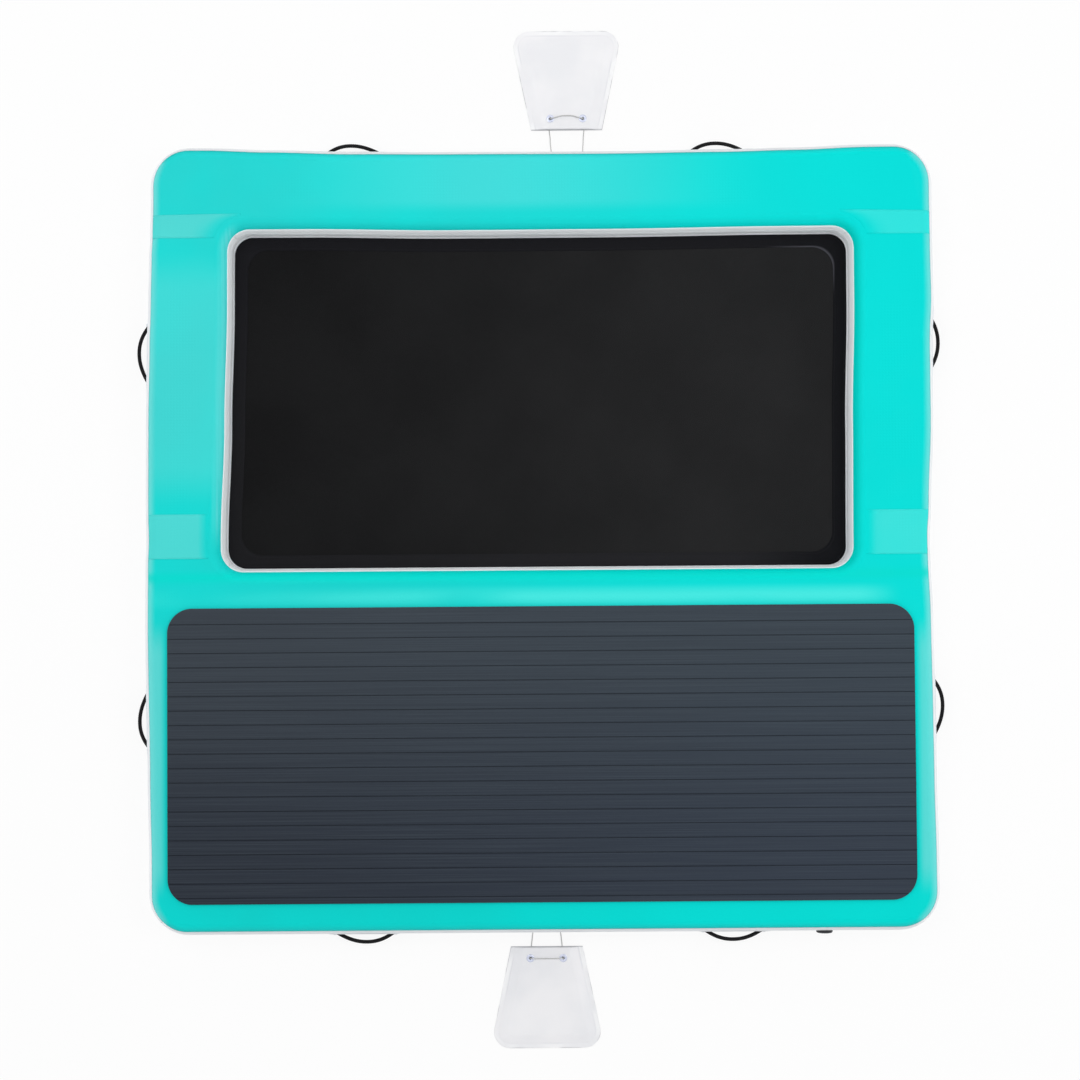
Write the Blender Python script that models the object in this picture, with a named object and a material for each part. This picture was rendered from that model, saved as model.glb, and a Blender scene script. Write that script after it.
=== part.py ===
"""Inflatable floating platform with a net lounge, rope grab handles, a valve and two ballast bags.

Metres. +X is right, +Y is rear and +Z is up. The origin is on the ground under the middle of the platform.
The hull is a ring of drop-stitch beams and a wide front deck round a lounge opening. Its side walls bulge:
in section a wall is half an ellipse, and an angle along it runs from 0 at the top face to 180 at the bottom.
"""

import math

import bmesh
import bpy
from mathutils import Matrix, Vector

# Hull, measured over the side walls at their widest
platform_width = 2.475
platform_length = 2.460
hull_thickness = 0.150
wall_bulge = 0.045
outer_corner_radius = 0.130

# Beams and lounge opening, measured between the side walls at their widest
side_beam_width = 0.262
rear_beam_width = 0.261
opening_length = 1.0547
opening_corner_radius = 0.060

# Coated fabric
skin_thickness = 0.0012
tape_thickness = 0.0014
band_thickness = 0.0009
shoulder_drop = 0.030
skin_tuck = 0.020
clearance = 0.0004

# Seams between the four panels of a skin
front_band_reach = 0.1855
rear_band_width = 0.072
bottom_lap_width = 0.026
bottom_joggle = 0.003

# Drop-stitch yarn
yarn_radius = 0.0015
yarn_pitch = 0.200
yarn_from_edge = 0.075

# Lounge net
net_height = 0.040
net_thickness = 0.0012
net_sag = 0.014
hem_width = 0.042
hem_thickness = 0.0015
flange_thickness = 0.0010
flange_foot = 0.012
flange_top_angle = 74.0

# Foam deck pad
pad_thickness = 0.0055
pad_corner_radius = 0.078
pad_front_margin = 0.105
pad_side_margin = 0.0757
pad_from_opening = 0.1223
groove_pitch = 0.0446
groove_from_rear = 0.0502
groove_width = 0.0030
groove_depth = 0.0016

# Rope grab handles: the side that each is on, and how far its middle is from that side's left or front
# end, or with a minus sign from its right or rear end
rope_radius = 0.0060
handle_half_span = 0.090
handle_depth = 0.0305
handle_height = 0.040
handle_places = {
    "front_left": (270.0, 0.6775),
    "front_right": (270.0, -0.6355),
    "rear_left": (90.0, 0.6515),
    "rear_right": (90.0, -0.6625),
    "left_front": (180.0, 0.672),
    "left_rear": (180.0, -0.632),
    "right_front": (0.0, 0.692),
    "right_rear": (0.0, -0.609),
}

# Welded patches under the handles
patch_thickness = 0.0016
handle_patch_length = 0.230
handle_patch_top_angle = 80.0
patch_bottom_angle = 126.0
socket_play = 0.0011
socket_rim = 0.0014
socket_length = 0.010

# Ballast bags
bag_centres = {"rear": (90.0, 0.095), "front": (270.0, 0.012)}
bag_gaps = {"rear": 0.088, "front": 0.059}
bag_length = 0.321
bag_mouth_width = 0.228
bag_end_width = 0.362
bag_corner_radius = 0.052
bag_height = 0.014
bag_panel_thickness = 0.0012

# Eyelets and draw cords
eyelet_from_mouth = 0.0355
eyelet_spacing = 0.104
eyelet_hole_radius = 0.0052
eyelet_wall = 0.0012
eyelet_flange_radius = 0.0120
eyelet_flange_thickness = 0.0008
cord_radius = 0.00175
cord_bend = 0.0060
cord_points = 76
cord_bows = {"rear": 0.009, "front": 0.001}

# Lanyard anchors
anchor_height = 0.040
anchor_patch_length = 0.150
anchor_patch_top_angle = 105.0
anchor_half_gaps = {"rear": 0.057, "front": 0.050}
anchor_eye_length = 0.010
anchor_eye_rim = 0.0020

# Inflation valve
valve_from_side = 0.354
valve_barrel_radius = 0.0170
valve_bore_radius = 0.0140
valve_flange_radius = 0.0260
valve_flange_thickness = 0.0025
valve_depth = 0.034
valve_seat_thickness = 0.0030
valve_port_radius = 0.0030
valve_port_count = 6
valve_nut_radius = 0.0225
valve_nut_thickness = 0.0080
valve_gasket_thickness = 0.0012
poppet_stem_radius = 0.0025
poppet_disc_radius = 0.0128
poppet_disc_thickness = 0.0026
poppet_head_radius = 0.0065
poppet_head_thickness = 0.0025
poppet_travel = 0.0050
spring_radius = 0.0048
spring_wire_radius = 0.0006
spring_turns = 6
spring_length = 0.016
cap_thickness = 0.0028
cap_skirt_depth = 0.0060
cap_skirt_wall = 0.0016
cap_notch_radius = 0.0025
cap_notch_count = 10

# How finely round shapes are drawn
corner_step = 15.0
shoulder_steps = 4
round_segments = 24

half_thickness = hull_thickness / 2
tape_top = math.acos(1 - 2 * shoulder_drop / hull_thickness)
skin_edge = math.acos(1 - 2 * (shoulder_drop + skin_tuck) / hull_thickness)
shoulder_angles = [tape_top * i / shoulder_steps for i in range(shoulder_steps + 1)]
skin_angles = shoulder_angles + [skin_edge]
band_angles = shoulder_angles[:-1] + [tape_top - 3 * clearance / half_thickness]
tape_angles = [tape_top, skin_edge, math.pi / 2, math.pi - skin_edge, math.pi - tape_top]


def clear_scene():
    for obj in list(bpy.data.objects):
        bpy.data.objects.remove(obj, do_unlink=True)


# Materials


def linear(value):
    return value / 12.92 if value <= 0.04045 else ((value + 0.055) / 1.055) ** 2.4


def material(name, red, green, blue, roughness, metallic=0.0):
    """A plain material from a display colour of 0 to 255 a channel."""
    made = bpy.data.materials.new(name)
    made.use_nodes = True
    shader = made.node_tree.nodes["Principled BSDF"]
    colour = [linear(channel / 255) for channel in (red, green, blue)]
    shader.inputs["Base Color"].default_value = (*colour, 1.0)
    shader.inputs["Roughness"].default_value = roughness
    shader.inputs["Metallic"].default_value = metallic
    made.diffuse_color = (*colour, 1.0)
    return made


# Objects


def keep(name, mesh, surface, smooth_angle=35.0):
    """An object round a mesh, shaded smooth except over sharp edges."""
    mesh.materials.clear()
    mesh.materials.append(surface)
    mesh.shade_smooth()
    mesh.set_sharp_from_angle(angle=math.radians(smooth_angle))
    obj = bpy.data.objects.new(name, mesh)
    bpy.context.scene.collection.objects.link(obj)
    return obj


def mesh_of(name, bm, closed=True):
    if closed:
        bmesh.ops.recalc_face_normals(bm, faces=bm.faces)
    mesh = bpy.data.meshes.new(name)
    bm.to_mesh(mesh)
    bm.free()
    return mesh


def helper(name, mesh):
    """A cutter: it shapes another object and isn't a piece of the platform."""
    obj = bpy.data.objects.new(name, mesh)
    bpy.context.scene.collection.objects.link(obj)
    obj.hide_render = True
    obj.display_type = "WIRE"
    return obj


def thicken(obj, thickness):
    """Gives an open surface its thickness, on the side that its faces turn their backs to."""
    modifier = obj.modifiers.new("thickness", "SOLIDIFY")
    modifier.thickness = thickness
    modifier.offset = -1.0
    modifier.use_even_offset = True
    modifier.use_quality_normals = True


def combine(obj, other, operation):
    modifier = obj.modifiers.new(other.name, "BOOLEAN")
    modifier.operation = operation
    modifier.object = other


def settled(obj):
    """The mesh of an object as its modifiers leave it. The object and its cutters are removed."""
    bpy.context.view_layer.update()
    graph = bpy.context.evaluated_depsgraph_get()
    mesh = bpy.data.meshes.new_from_object(obj.evaluated_get(graph))
    cutters = [m.object for m in obj.modifiers if m.type == "BOOLEAN"]
    for used in [obj, *cutters]:
        bpy.data.objects.remove(used, do_unlink=True)
    return mesh


def tube(name, points, radius, surface, resolution):
    """A round bar along a line of points, with closed ends."""
    curve = bpy.data.curves.new(name, "CURVE")
    curve.dimensions = "3D"
    curve.fill_mode = "FULL"
    curve.bevel_depth = radius
    curve.bevel_resolution = resolution
    curve.use_fill_caps = True
    spline = curve.splines.new("POLY")
    spline.points.add(len(points) - 1)
    for place, point in zip(spline.points, points, strict=True):
        place.co = (*point, 1.0)
    curve.materials.append(surface)
    obj = bpy.data.objects.new(name, curve)
    bpy.context.scene.collection.objects.link(obj)
    return obj


def ring_mesh(name, profile, segments=round_segments):
    """A turned piece about Z: profile points are (radius, height) round a closed section off the axis."""
    bm = bmesh.new()
    rows = []
    for i in range(segments):
        turn = 2 * math.pi * i / segments
        rows.append([bm.verts.new((r * math.cos(turn), r * math.sin(turn), z)) for r, z in profile])
    for i, row in enumerate(rows):
        following = rows[(i + 1) % segments]
        for j in range(len(profile)):
            k = (j + 1) % len(profile)
            bm.faces.new((row[j], following[j], following[k], row[k]))
    return mesh_of(name, bm)


def turned_mesh(name, profile, segments=round_segments):
    """A solid turned piece about Z: profile points are (radius, height) from one end of the axis to the other."""
    bm = bmesh.new()
    rows = []
    for i in range(segments):
        turn = 2 * math.pi * i / segments
        rows.append([bm.verts.new((r * math.cos(turn), r * math.sin(turn), z)) for r, z in profile])
    for i, row in enumerate(rows):
        following = rows[(i + 1) % segments]
        for j in range(len(profile) - 1):
            bm.faces.new((row[j], following[j], following[j + 1], row[j + 1]))
    bm.faces.new([row[0] for row in rows])
    bm.faces.new([row[-1] for row in rows])
    return mesh_of(name, bm)


def prism_mesh(name, outline, low, high):
    """A flat outline of (x, y) points drawn up from one height to another."""
    bm = bmesh.new()
    face = bm.faces.new([bm.verts.new((x, y, low)) for x, y in outline])
    drawn = bmesh.ops.extrude_face_region(bm, geom=[face])
    top = [v for v in drawn["geom"] if isinstance(v, bmesh.types.BMVert)]
    bmesh.ops.translate(bm, verts=top, vec=(0.0, 0.0, high - low))
    return mesh_of(name, bm)


# Outlines: where the flat faces end and the side walls begin


def outline(x_low, x_high, y_low, y_high, radius, facing):
    """A rounded rectangle. Its walls bulge outwards where facing is 1 and inwards where it is -1."""
    return {"x": (x_low, x_high), "y": (y_low, y_high), "radius": radius, "facing": facing}


outer = outline(
    wall_bulge - platform_width / 2,
    platform_width / 2 - wall_bulge,
    wall_bulge - platform_length / 2,
    platform_length / 2 - wall_bulge,
    outer_corner_radius - wall_bulge,
    1,
)
opening_rear = platform_length / 2 - rear_beam_width
opening_front = opening_rear - opening_length
opening_side = platform_width / 2 - side_beam_width
opening = outline(
    -opening_side - wall_bulge,
    opening_side + wall_bulge,
    opening_front - wall_bulge,
    opening_rear + wall_bulge,
    opening_corner_radius + wall_bulge,
    -1,
)


def station(shape, x, y, turn):
    """A place on an outline, and the way that its wall bulges: (x, y, facing x, facing y)."""
    facing = shape["facing"]
    return (x, y, facing * math.cos(turn), facing * math.sin(turn))


def arc(shape, first, last):
    """Stations along one corner between two directions, in degrees."""
    middle = 90 * math.floor((first + last) / 180) + 45
    east = 1 if math.cos(math.radians(middle)) > 0 else 0
    north = 1 if math.sin(math.radians(middle)) > 0 else 0
    x = shape["x"][east] + (1 - 2 * east) * shape["radius"]
    y = shape["y"][north] + (1 - 2 * north) * shape["radius"]
    steps = max(1, round(abs(last - first) / corner_step))
    made = []
    for i in range(steps + 1):
        turn = math.radians(first + (last - first) * i / steps)
        reach = shape["radius"]
        made.append(station(shape, x + reach * math.cos(turn), y + reach * math.sin(turn), turn))
    return made


def side(shape, direction, along):
    """The station on a straight side: direction is 0 on the right, 90 at the rear, 180 left, 270 front."""
    if direction in (0.0, 180.0):
        x = shape["x"][1 if direction == 0.0 else 0]
        return station(shape, x, along, math.radians(direction))
    y = shape["y"][1 if direction == 90.0 else 0]
    return station(shape, along, y, math.radians(direction))


def wall_section(angle, offset=0.0):
    """(distance out from the flat face, height) of a point on a side wall, moved off it by offset."""
    normal = Vector((half_thickness * math.sin(angle), wall_bulge * math.cos(angle))).normalized()
    out = wall_bulge * math.sin(angle) + offset * normal.x
    height = half_thickness * (1 + math.cos(angle)) + offset * normal.y
    return out, height


def wall_point(place, angle, offset=0.0):
    x, y, facing_x, facing_y = place
    out, height = wall_section(angle, offset)
    return Vector((x + facing_x * out, y + facing_y * out, height))


def skin_offset(angle):
    """A skin dips under the tape by the tape's thickness, little by little over the shoulder."""
    return -(tape_thickness + clearance) * min(1.0, angle / tape_top)


def angle_at(height):
    """The wall angle at a height, on the lower half where the height is under the middle."""
    return math.acos(height / half_thickness - 1)


def handle_along(direction, distance):
    """Where a handle's middle is along its side, from the middle of that side."""
    half = (platform_length if direction in (0.0, 180.0) else platform_width) / 2
    return distance - half if distance > 0 else half + distance


def frame_on(direction, along):
    """Puts a piece drawn on the front wall, with -Y outwards, on the wall that faces a direction."""
    x, y, _, _ = side(outer, direction, along)
    return Matrix.Translation((x, y, 0.0)) @ Matrix.Rotation(math.radians(direction - 270.0), 4, "Z")


# Seams

front_seam_y = opening["y"][0] + opening["radius"] * (1 - math.sin(math.radians(45)))
rear_seam_y = opening["y"][1] - opening["radius"] * (1 - math.sin(math.radians(45)))
seam_gap_degrees = math.degrees(clearance / opening["radius"])


def seam_corner(direction, at_rear):
    """Where round the opening a beam's seam is, in degrees, and the way from there to the beam's own side."""
    if at_rear:
        return (45.0, -1) if direction == 0.0 else (135.0, 1)
    return (315.0, 1) if direction == 0.0 else (225.0, -1)


def panel_paths(panel):
    """The outer and the inner path of a panel that has corners in it."""
    if panel == "rear_beam":
        seam = rear_seam_y + clearance
        outside = [side(outer, 180.0, seam), *arc(outer, 180, 90), *arc(outer, 90, 0)]
        outside.append(side(outer, 0.0, seam))
        inside = arc(opening, 135 - seam_gap_degrees, 90) + arc(opening, 90, 45 + seam_gap_degrees)
        return outside, inside
    seam = front_seam_y - clearance
    outside = [side(outer, 180.0, seam), *arc(outer, 180, 270), *arc(outer, 270, 360)]
    outside.append(side(outer, 0.0, seam))
    inside = arc(opening, 225 + seam_gap_degrees, 270) + arc(opening, 270, 315 - seam_gap_degrees)
    return outside, inside


def beam_rows(direction):
    """Rows across a side beam from the rear seam to the front one: (outer station, inner station)."""
    rear, rear_way = seam_corner(direction, True)
    front, front_way = seam_corner(direction, False)
    inner = arc(opening, rear + rear_way * seam_gap_degrees, direction)
    inner += arc(opening, direction if direction > 0 else 360.0, front + front_way * seam_gap_degrees)
    return [(side(outer, direction, place[1]), place) for place in inner]


# Skins


def turn_over(bm):
    """Makes the bottom of a hull piece from its top."""
    for vert in bm.verts:
        vert.co.z = hull_thickness - vert.co.z
    bmesh.ops.reverse_faces(bm, faces=bm.faces)


def add_strip(bm, rows, turned):
    """Quads between rows of corners, with their faces turned over where asked."""
    for first, second in zip(rows, rows[1:]):
        for j in range(len(first) - 1):
            quad = (first[j], second[j], second[j + 1], first[j + 1])
            bm.faces.new(quad[::-1] if turned else quad)


def facing(bm, way):
    """Turns a sheet's faces so that its widest one looks a certain way."""
    bmesh.ops.recalc_face_normals(bm, faces=bm.faces)
    bm.normal_update()
    widest = max(bm.faces, key=lambda face: face.calc_area())
    if widest.normal.dot(Vector(way)) < 0:
        bmesh.ops.reverse_faces(bm, faces=bm.faces)


def wide_skin(name, panel, surface, at_bottom):
    """A skin panel with corners: one flat face and a shoulder along each path."""
    outside, inside = panel_paths(panel)
    bm = bmesh.new()
    edges = []
    for path, turned in ((outside, False), (inside, True)):
        rows = [[bm.verts.new(wall_point(place, a, skin_offset(a))) for a in skin_angles] for place in path]
        add_strip(bm, rows, turned)
        edges.append([row[0] for row in rows])
    bm.faces.new(edges[0] + edges[1][::-1])
    facing(bm, (0.0, 0.0, 1.0))
    if at_bottom:
        turn_over(bm)
    obj = keep(name, mesh_of(name, bm, closed=False), surface)
    thicken(obj, skin_thickness)
    return obj


def row_verts(bm, outer_place, inner_place, angles, sink, lift=0.0):
    """One row across a beam: down the inner wall's shoulder, over the face and down the outer one's."""
    across = [wall_point(outer_place, a, skin_offset(a) + lift - sink) for a in reversed(angles)]
    across += [wall_point(inner_place, a, skin_offset(a) + lift - sink) for a in angles]
    return [bm.verts.new(point) for point in across]


def shifted(place, along):
    x, y, facing_x, facing_y = place
    return (x, y + along, facing_x, facing_y)


def lap_rows(direction, rows):
    """Rows with a tongue that runs on past each seam, under the next panel: (outer, inner, sink)."""
    sink = skin_thickness + clearance
    joggle = math.degrees(bottom_joggle / opening["radius"])

    def end(at_rear):
        """The tongue's end and the step's end at one of the seams."""
        seam, way = seam_corner(direction, at_rear)
        past = 1 if at_rear else -1
        y = rear_seam_y if at_rear else front_seam_y
        tip = seam - way * corner_step
        step = seam + way * joggle
        tongue_end = (side(outer, direction, y + past * bottom_lap_width), arc(opening, tip, tip)[0], sink)
        step_end = (side(outer, direction, y - past * bottom_joggle), arc(opening, step, step)[0], 0.0)
        return tongue_end, step_end

    rear_tongue, rear_step = end(True)
    front_tongue, front_step = end(False)
    middle = [(a, b, 0.0) for a, b in rows[1:-1]]
    return [rear_tongue, (*rows[0], sink), rear_step, *middle, front_step, (*rows[-1], sink), front_tongue]


def beam_skin(name, direction, surface, at_bottom):
    """A skin panel of a side beam. At the bottom it has a tongue past each seam for the lap weld."""
    rows = beam_rows(direction)
    rows = lap_rows(direction, rows) if at_bottom else [(a, b, 0.0) for a, b in rows]
    bm = bmesh.new()
    corners = [row_verts(bm, a, b, skin_angles, sink) for a, b, sink in rows]
    add_strip(bm, corners, False)
    facing(bm, (0.0, 0.0, 1.0))
    if at_bottom:
        turn_over(bm)
    obj = keep(name, mesh_of(name, bm, closed=False), surface)
    thicken(obj, skin_thickness)
    return obj


def seam_band(name, direction, at_rear, surface):
    """The strip that is welded over a seam, from one side wall's tape to the other's."""
    seam, way = seam_corner(direction, at_rear)
    if at_rear:
        inner = arc(opening, seam + way * corner_step, seam - way * corner_step)
        reach = [-rear_band_width / 2, 0.0, rear_band_width / 2]
        rows = [(side(outer, direction, rear_seam_y + r), b) for r, b in zip(reach, inner, strict=True)]
    else:
        inner = [side(opening, direction, front_seam_y + front_band_reach)]
        inner += arc(opening, direction if direction > 0 else 360.0, seam - way * corner_step)
        rows = [(side(outer, direction, place[1]), place) for place in inner]
    bm = bmesh.new()
    lift = clearance + band_thickness
    corners = [row_verts(bm, a, b, band_angles, 0.0, lift) for a, b in rows]
    add_strip(bm, corners, False)
    facing(bm, (0.0, 0.0, 1.0))
    obj = keep(name, mesh_of(name, bm, closed=False), surface)
    thicken(obj, band_thickness)
    return obj


# Side walls


def rail_path(shape, direction):
    """One side of an outline with half of the corner at each end."""
    gap = math.degrees(clearance / shape["radius"])
    if shape["facing"] > 0:
        gap = math.degrees(clearance / (shape["radius"] + wall_bulge))
    before = direction if direction > 0 else 360.0
    return arc(shape, before - 45 + gap, before) + arc(shape, direction, direction + 45 - gap)


def rail(name, shape, direction, surface):
    """A length of side wall tape, wrapped over the edges of the top and bottom skins."""
    bm = bmesh.new()
    rows = [[bm.verts.new(wall_point(place, a)) for a in tape_angles] for place in rail_path(shape, direction)]
    add_strip(bm, rows, shape["facing"] > 0)
    obj = keep(name, mesh_of(name, bm, closed=False), surface)
    thicken(obj, tape_thickness)
    return obj


# Drop-stitch yarn


def yarn_route(places):
    """Up and down between the skins, from place to place."""
    low = 2 * skin_thickness + 2 * clearance + 2 * yarn_radius
    high = hull_thickness - skin_thickness - clearance - yarn_radius
    points = []
    for i, (x, y) in enumerate(places):
        ends = (low, high) if i % 2 == 0 else (high, low)
        points += [(x, y, z) for z in ends]
    return points


def spaced(low, high):
    count = max(1, round((high - low) / yarn_pitch))
    return [low + (high - low) * i / count for i in range(count + 1)]


def deck_yarn_places():
    """Rows to and fro over the front deck."""
    places = []
    xs = spaced(outer["x"][0] + yarn_from_edge, outer["x"][1] - yarn_from_edge)
    rows = spaced(outer["y"][0] + yarn_from_edge, opening["y"][0] - yarn_from_edge)
    for i, y in enumerate(rows):
        places += [(x, y) for x in (xs if i % 2 == 0 else xs[::-1])]
    return places


def frame_yarn_places():
    """From side to side of the beams: up the left one, along the rear one and down the right one."""
    near_x = opening["x"][1] + yarn_from_edge / 2
    far_x = outer["x"][1] - yarn_from_edge / 2
    near_y = opening["y"][1] + yarn_from_edge / 2
    far_y = outer["y"][1] - yarn_from_edge / 2
    left = []
    for i, y in enumerate(spaced(front_seam_y + yarn_from_edge, opening["y"][1] - yarn_from_edge)):
        left.append((-(near_x if i % 2 == 0 else far_x), y))
    rear = []
    for i, x in enumerate(spaced(-near_x, near_x)):
        rear.append((x, near_y if i % 2 == 0 else far_y))
    right = [(-x, y) for x, y in reversed(left)]
    return left + rear + right


# Lounge net


def opening_ring():
    """Stations all the way round the lounge opening."""
    return [place for start in (0, 90, 180, 270) for place in arc(opening, start, start + 90)]


def inset_ring(distance, height):
    return [Vector((x + fx * distance, y + fy * distance, height)) for x, y, fx, fy in opening_ring()]


net_edge = wall_bulge + 2 * clearance + flange_thickness
net_middle = Vector((0.0, (opening_front + opening_rear) / 2, 0.0))
hem_drop = 0.0015
net_rings = (0.72, 0.45, 0.20)


def closed_band(bm, first, second, turned=False):
    for i in range(len(first)):
        j = (i + 1) % len(first)
        quad = (first[i], first[j], second[j], second[i])
        bm.faces.new(quad[::-1] if turned else quad)


def lounge_net(surface):
    """The net: flat under its hem, then sagging a little towards the middle."""
    top = net_height + net_thickness
    hem_inside = inset_ring(net_edge + hem_width, top - hem_drop)
    rings = [inset_ring(net_edge, top), hem_inside]
    for share in net_rings:
        height = top - hem_drop - net_sag * (1 - share**2)
        ring = []
        for corner in hem_inside:
            point = net_middle + (corner - net_middle) * share
            point.z = height
            ring.append(point)
        rings.append(ring)
    bm = bmesh.new()
    rows = [[bm.verts.new(point) for point in ring] for ring in rings]
    for first, second in zip(rows, rows[1:]):
        closed_band(bm, first, second)
    centre = bm.verts.new((net_middle.x, net_middle.y, top - hem_drop - net_sag))
    last = rows[-1]
    for i in range(len(last)):
        bm.faces.new((last[i], last[(i + 1) % len(last)], centre))
    facing(bm, (0.0, 0.0, 1.0))
    obj = keep("lounge_net", mesh_of("lounge_net", bm, closed=False), surface)
    thicken(obj, net_thickness)


def net_hem(surface):
    """The webbing hem that is sewn on the edge of the net."""
    top = net_height + net_thickness + clearance + hem_thickness
    bm = bmesh.new()
    outside = [bm.verts.new(point) for point in inset_ring(net_edge, top)]
    inside = [bm.verts.new(point) for point in inset_ring(net_edge + hem_width, top - hem_drop)]
    closed_band(bm, outside, inside)
    facing(bm, (0.0, 0.0, 1.0))
    obj = keep("net_hem", mesh_of("net_hem", bm, closed=False), surface)
    thicken(obj, hem_thickness)


def net_flange(surface):
    """The strip that is welded to the wall of the opening, with a foot that carries the net's edge."""
    foot_top = net_height - clearance
    foot_low = foot_top - flange_thickness
    outside = clearance + flange_thickness
    first = math.radians(flange_top_angle)
    last = angle_at(foot_low)
    angles = [first, *[a for a in tape_angles if first < a < angle_at(foot_top)], last]
    back = [wall_section(angle, clearance) for angle in reversed(angles)]
    front = [wall_section(angle, outside) for angle in angles[:-1]]
    foot = wall_bulge + clearance + flange_foot
    section = back + front + [(wall_section(angle_at(foot_top), outside)[0], foot_top)]
    section += [(foot, foot_top), (foot, foot_low)]
    bm = bmesh.new()
    rows = []
    for x, y, fx, fy in opening_ring():
        rows.append([bm.verts.new((x + fx * out, y + fy * out, z)) for out, z in section])
    for i, row in enumerate(rows):
        following = rows[(i + 1) % len(rows)]
        for j in range(len(section)):
            k = (j + 1) % len(section)
            bm.faces.new((row[j], following[j], following[k], row[k]))
    keep("net_flange", mesh_of("net_flange", bm), surface)


# Deck pad


def fillet(before, corner, after, radius, steps):
    """Points that round a corner off."""
    towards = (Vector(before) - Vector(corner)).normalized()
    away = (Vector(after) - Vector(corner)).normalized()
    half = towards.angle(away) / 2
    centre = Vector(corner) + (towards + away).normalized() * radius / math.sin(half)
    start = Vector(corner) + towards * radius / math.tan(half) - centre
    end = Vector(corner) + away * radius / math.tan(half) - centre
    turn = math.atan2(start.x * end.y - start.y * end.x, start.dot(end))
    points = []
    for i in range(steps + 1):
        point = start.copy()
        point.rotate(Matrix.Rotation(turn * i / steps, 2))
        points.append(tuple(centre + point))
    return points


def rounded(corners, radii, steps=5):
    """An outline with some of its corners rounded."""
    points = []
    for i, (corner, radius) in enumerate(zip(corners, radii, strict=True)):
        if radius:
            points += fillet(corners[i - 1], corner, corners[(i + 1) % len(corners)], radius, steps)
        else:
            points.append(corner)
    return points


def deck_pad(surface):
    front = pad_front_margin - platform_length / 2
    rear = opening_front - pad_from_opening
    half = platform_width / 2 - pad_side_margin
    low = hull_thickness + clearance
    high = low + pad_thickness
    corners = [(-half, front), (half, front), (half, rear), (-half, rear)]
    planform = rounded(corners, [pad_corner_radius] * 4)
    pad = keep("deck_pad", prism_mesh("deck_pad", planform, low, high), surface)
    bm = bmesh.new()
    count = math.floor((rear - front - groove_from_rear) / groove_pitch) + 1
    for i in range(count):
        middle = rear - groove_from_rear - i * groove_pitch
        size = Matrix.Diagonal((4 * half, groove_width, 2 * groove_depth, 1.0))
        bmesh.ops.create_cube(bm, size=1.0, matrix=Matrix.Translation((0.0, middle, high)) @ size)
    combine(pad, helper("groove_cutter", mesh_of("groove_cutter", bm)), "DIFFERENCE")
    return pad


# Rope grab handles and their patches


def on_wall(height, lift):
    """(y, z) on the front wall in its own frame, lifted off the tape."""
    out, z = wall_section(angle_at(height), lift)
    return -out, z


socket_radius = rope_radius + socket_play
handle_axis = on_wall(handle_height, clearance + patch_thickness + socket_radius + clearance)


def patch_sheet(name, length, top_angle, surface):
    """A rectangle of fabric that follows the wall."""
    first = math.radians(top_angle)
    last = math.radians(patch_bottom_angle)
    angles = [first, *[a for a in tape_angles if first < a < last], last]
    bm = bmesh.new()
    rows = []
    for x in (-length / 2, length / 2):
        row = []
        for angle in angles:
            out, height = wall_section(angle, clearance + patch_thickness)
            row.append(bm.verts.new((x, -out, height)))
        rows.append(row)
    add_strip(bm, rows, False)
    facing(bm, (0.0, -1.0, 0.0))
    obj = keep(name, mesh_of(name, bm, closed=False), surface)
    thicken(obj, patch_thickness)
    return obj


def bar_along_x(name, x_low, x_high, axis, radius, segments=12):
    bm = bmesh.new()
    place = Matrix.Translation(((x_low + x_high) / 2, axis[0], axis[1])) @ Matrix.Rotation(math.pi / 2, 4, "Y")
    length = x_high - x_low
    bmesh.ops.create_cone(
        bm, cap_ends=True, segments=segments, radius1=radius, radius2=radius, depth=length, matrix=place
    )
    return helper(name, mesh_of(name, bm))


def ball(name, centre, radius):
    bm = bmesh.new()
    bmesh.ops.create_uvsphere(bm, u_segments=12, v_segments=8, radius=radius, matrix=Matrix.Translation(centre))
    return helper(name, mesh_of(name, bm))


def handle_patch_mesh(surface):
    """The welded patch with a cup at each end that the rope's ends turn in."""
    obj = patch_sheet("handle_patch", handle_patch_length, handle_patch_top_angle, surface)
    start = handle_half_span + socket_play + clearance
    for hand in (-1, 1):
        ends = sorted((hand * start, hand * (start + socket_length)))
        combine(obj, bar_along_x("cup", *ends, handle_axis, socket_radius + socket_rim), "UNION")
    for hand in (-1, 1):
        centre = (hand * handle_half_span, *handle_axis)
        combine(obj, ball("cup_hollow", centre, socket_radius), "DIFFERENCE")
    return settled(obj)


def handle_route():
    """An arc from one cup to the other, level with them."""
    radius = (handle_half_span**2 + handle_depth**2) / (2 * handle_depth)
    reach = math.asin(handle_half_span / radius)
    points = []
    steps = 12
    for i in range(steps + 1):
        turn = reach * (2 * i / steps - 1)
        out = radius * math.cos(turn) - radius + handle_depth
        points.append((radius * math.sin(turn), -out, 0.0))
    return points


def handles(rope, white):
    patch = handle_patch_mesh(white)
    loop = tube("grab_handle_loop", handle_route(), rope_radius, rope, 2)
    curve = loop.data
    bpy.data.objects.remove(loop, do_unlink=True)
    for name, (direction, distance) in handle_places.items():
        frame = frame_on(direction, handle_along(direction, distance))
        base = keep(f"handle_patch_{name}", patch, white)
        base.matrix_world = frame
        handle = bpy.data.objects.new(f"grab_handle_{name}", curve)
        bpy.context.scene.collection.objects.link(handle)
        handle.matrix_world = frame @ Matrix.Translation((0.0, *handle_axis))


# Ballast bags

bag_mouth_out = {end: wall_bulge + gap for end, gap in bag_gaps.items()}
anchor_hole_radius = cord_radius + clearance
anchor_axis = on_wall(anchor_height, clearance + patch_thickness + anchor_hole_radius + clearance)
bag_panel_low = bag_height - bag_panel_thickness
eyelet_barrel_radius = eyelet_hole_radius + eyelet_wall


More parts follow.
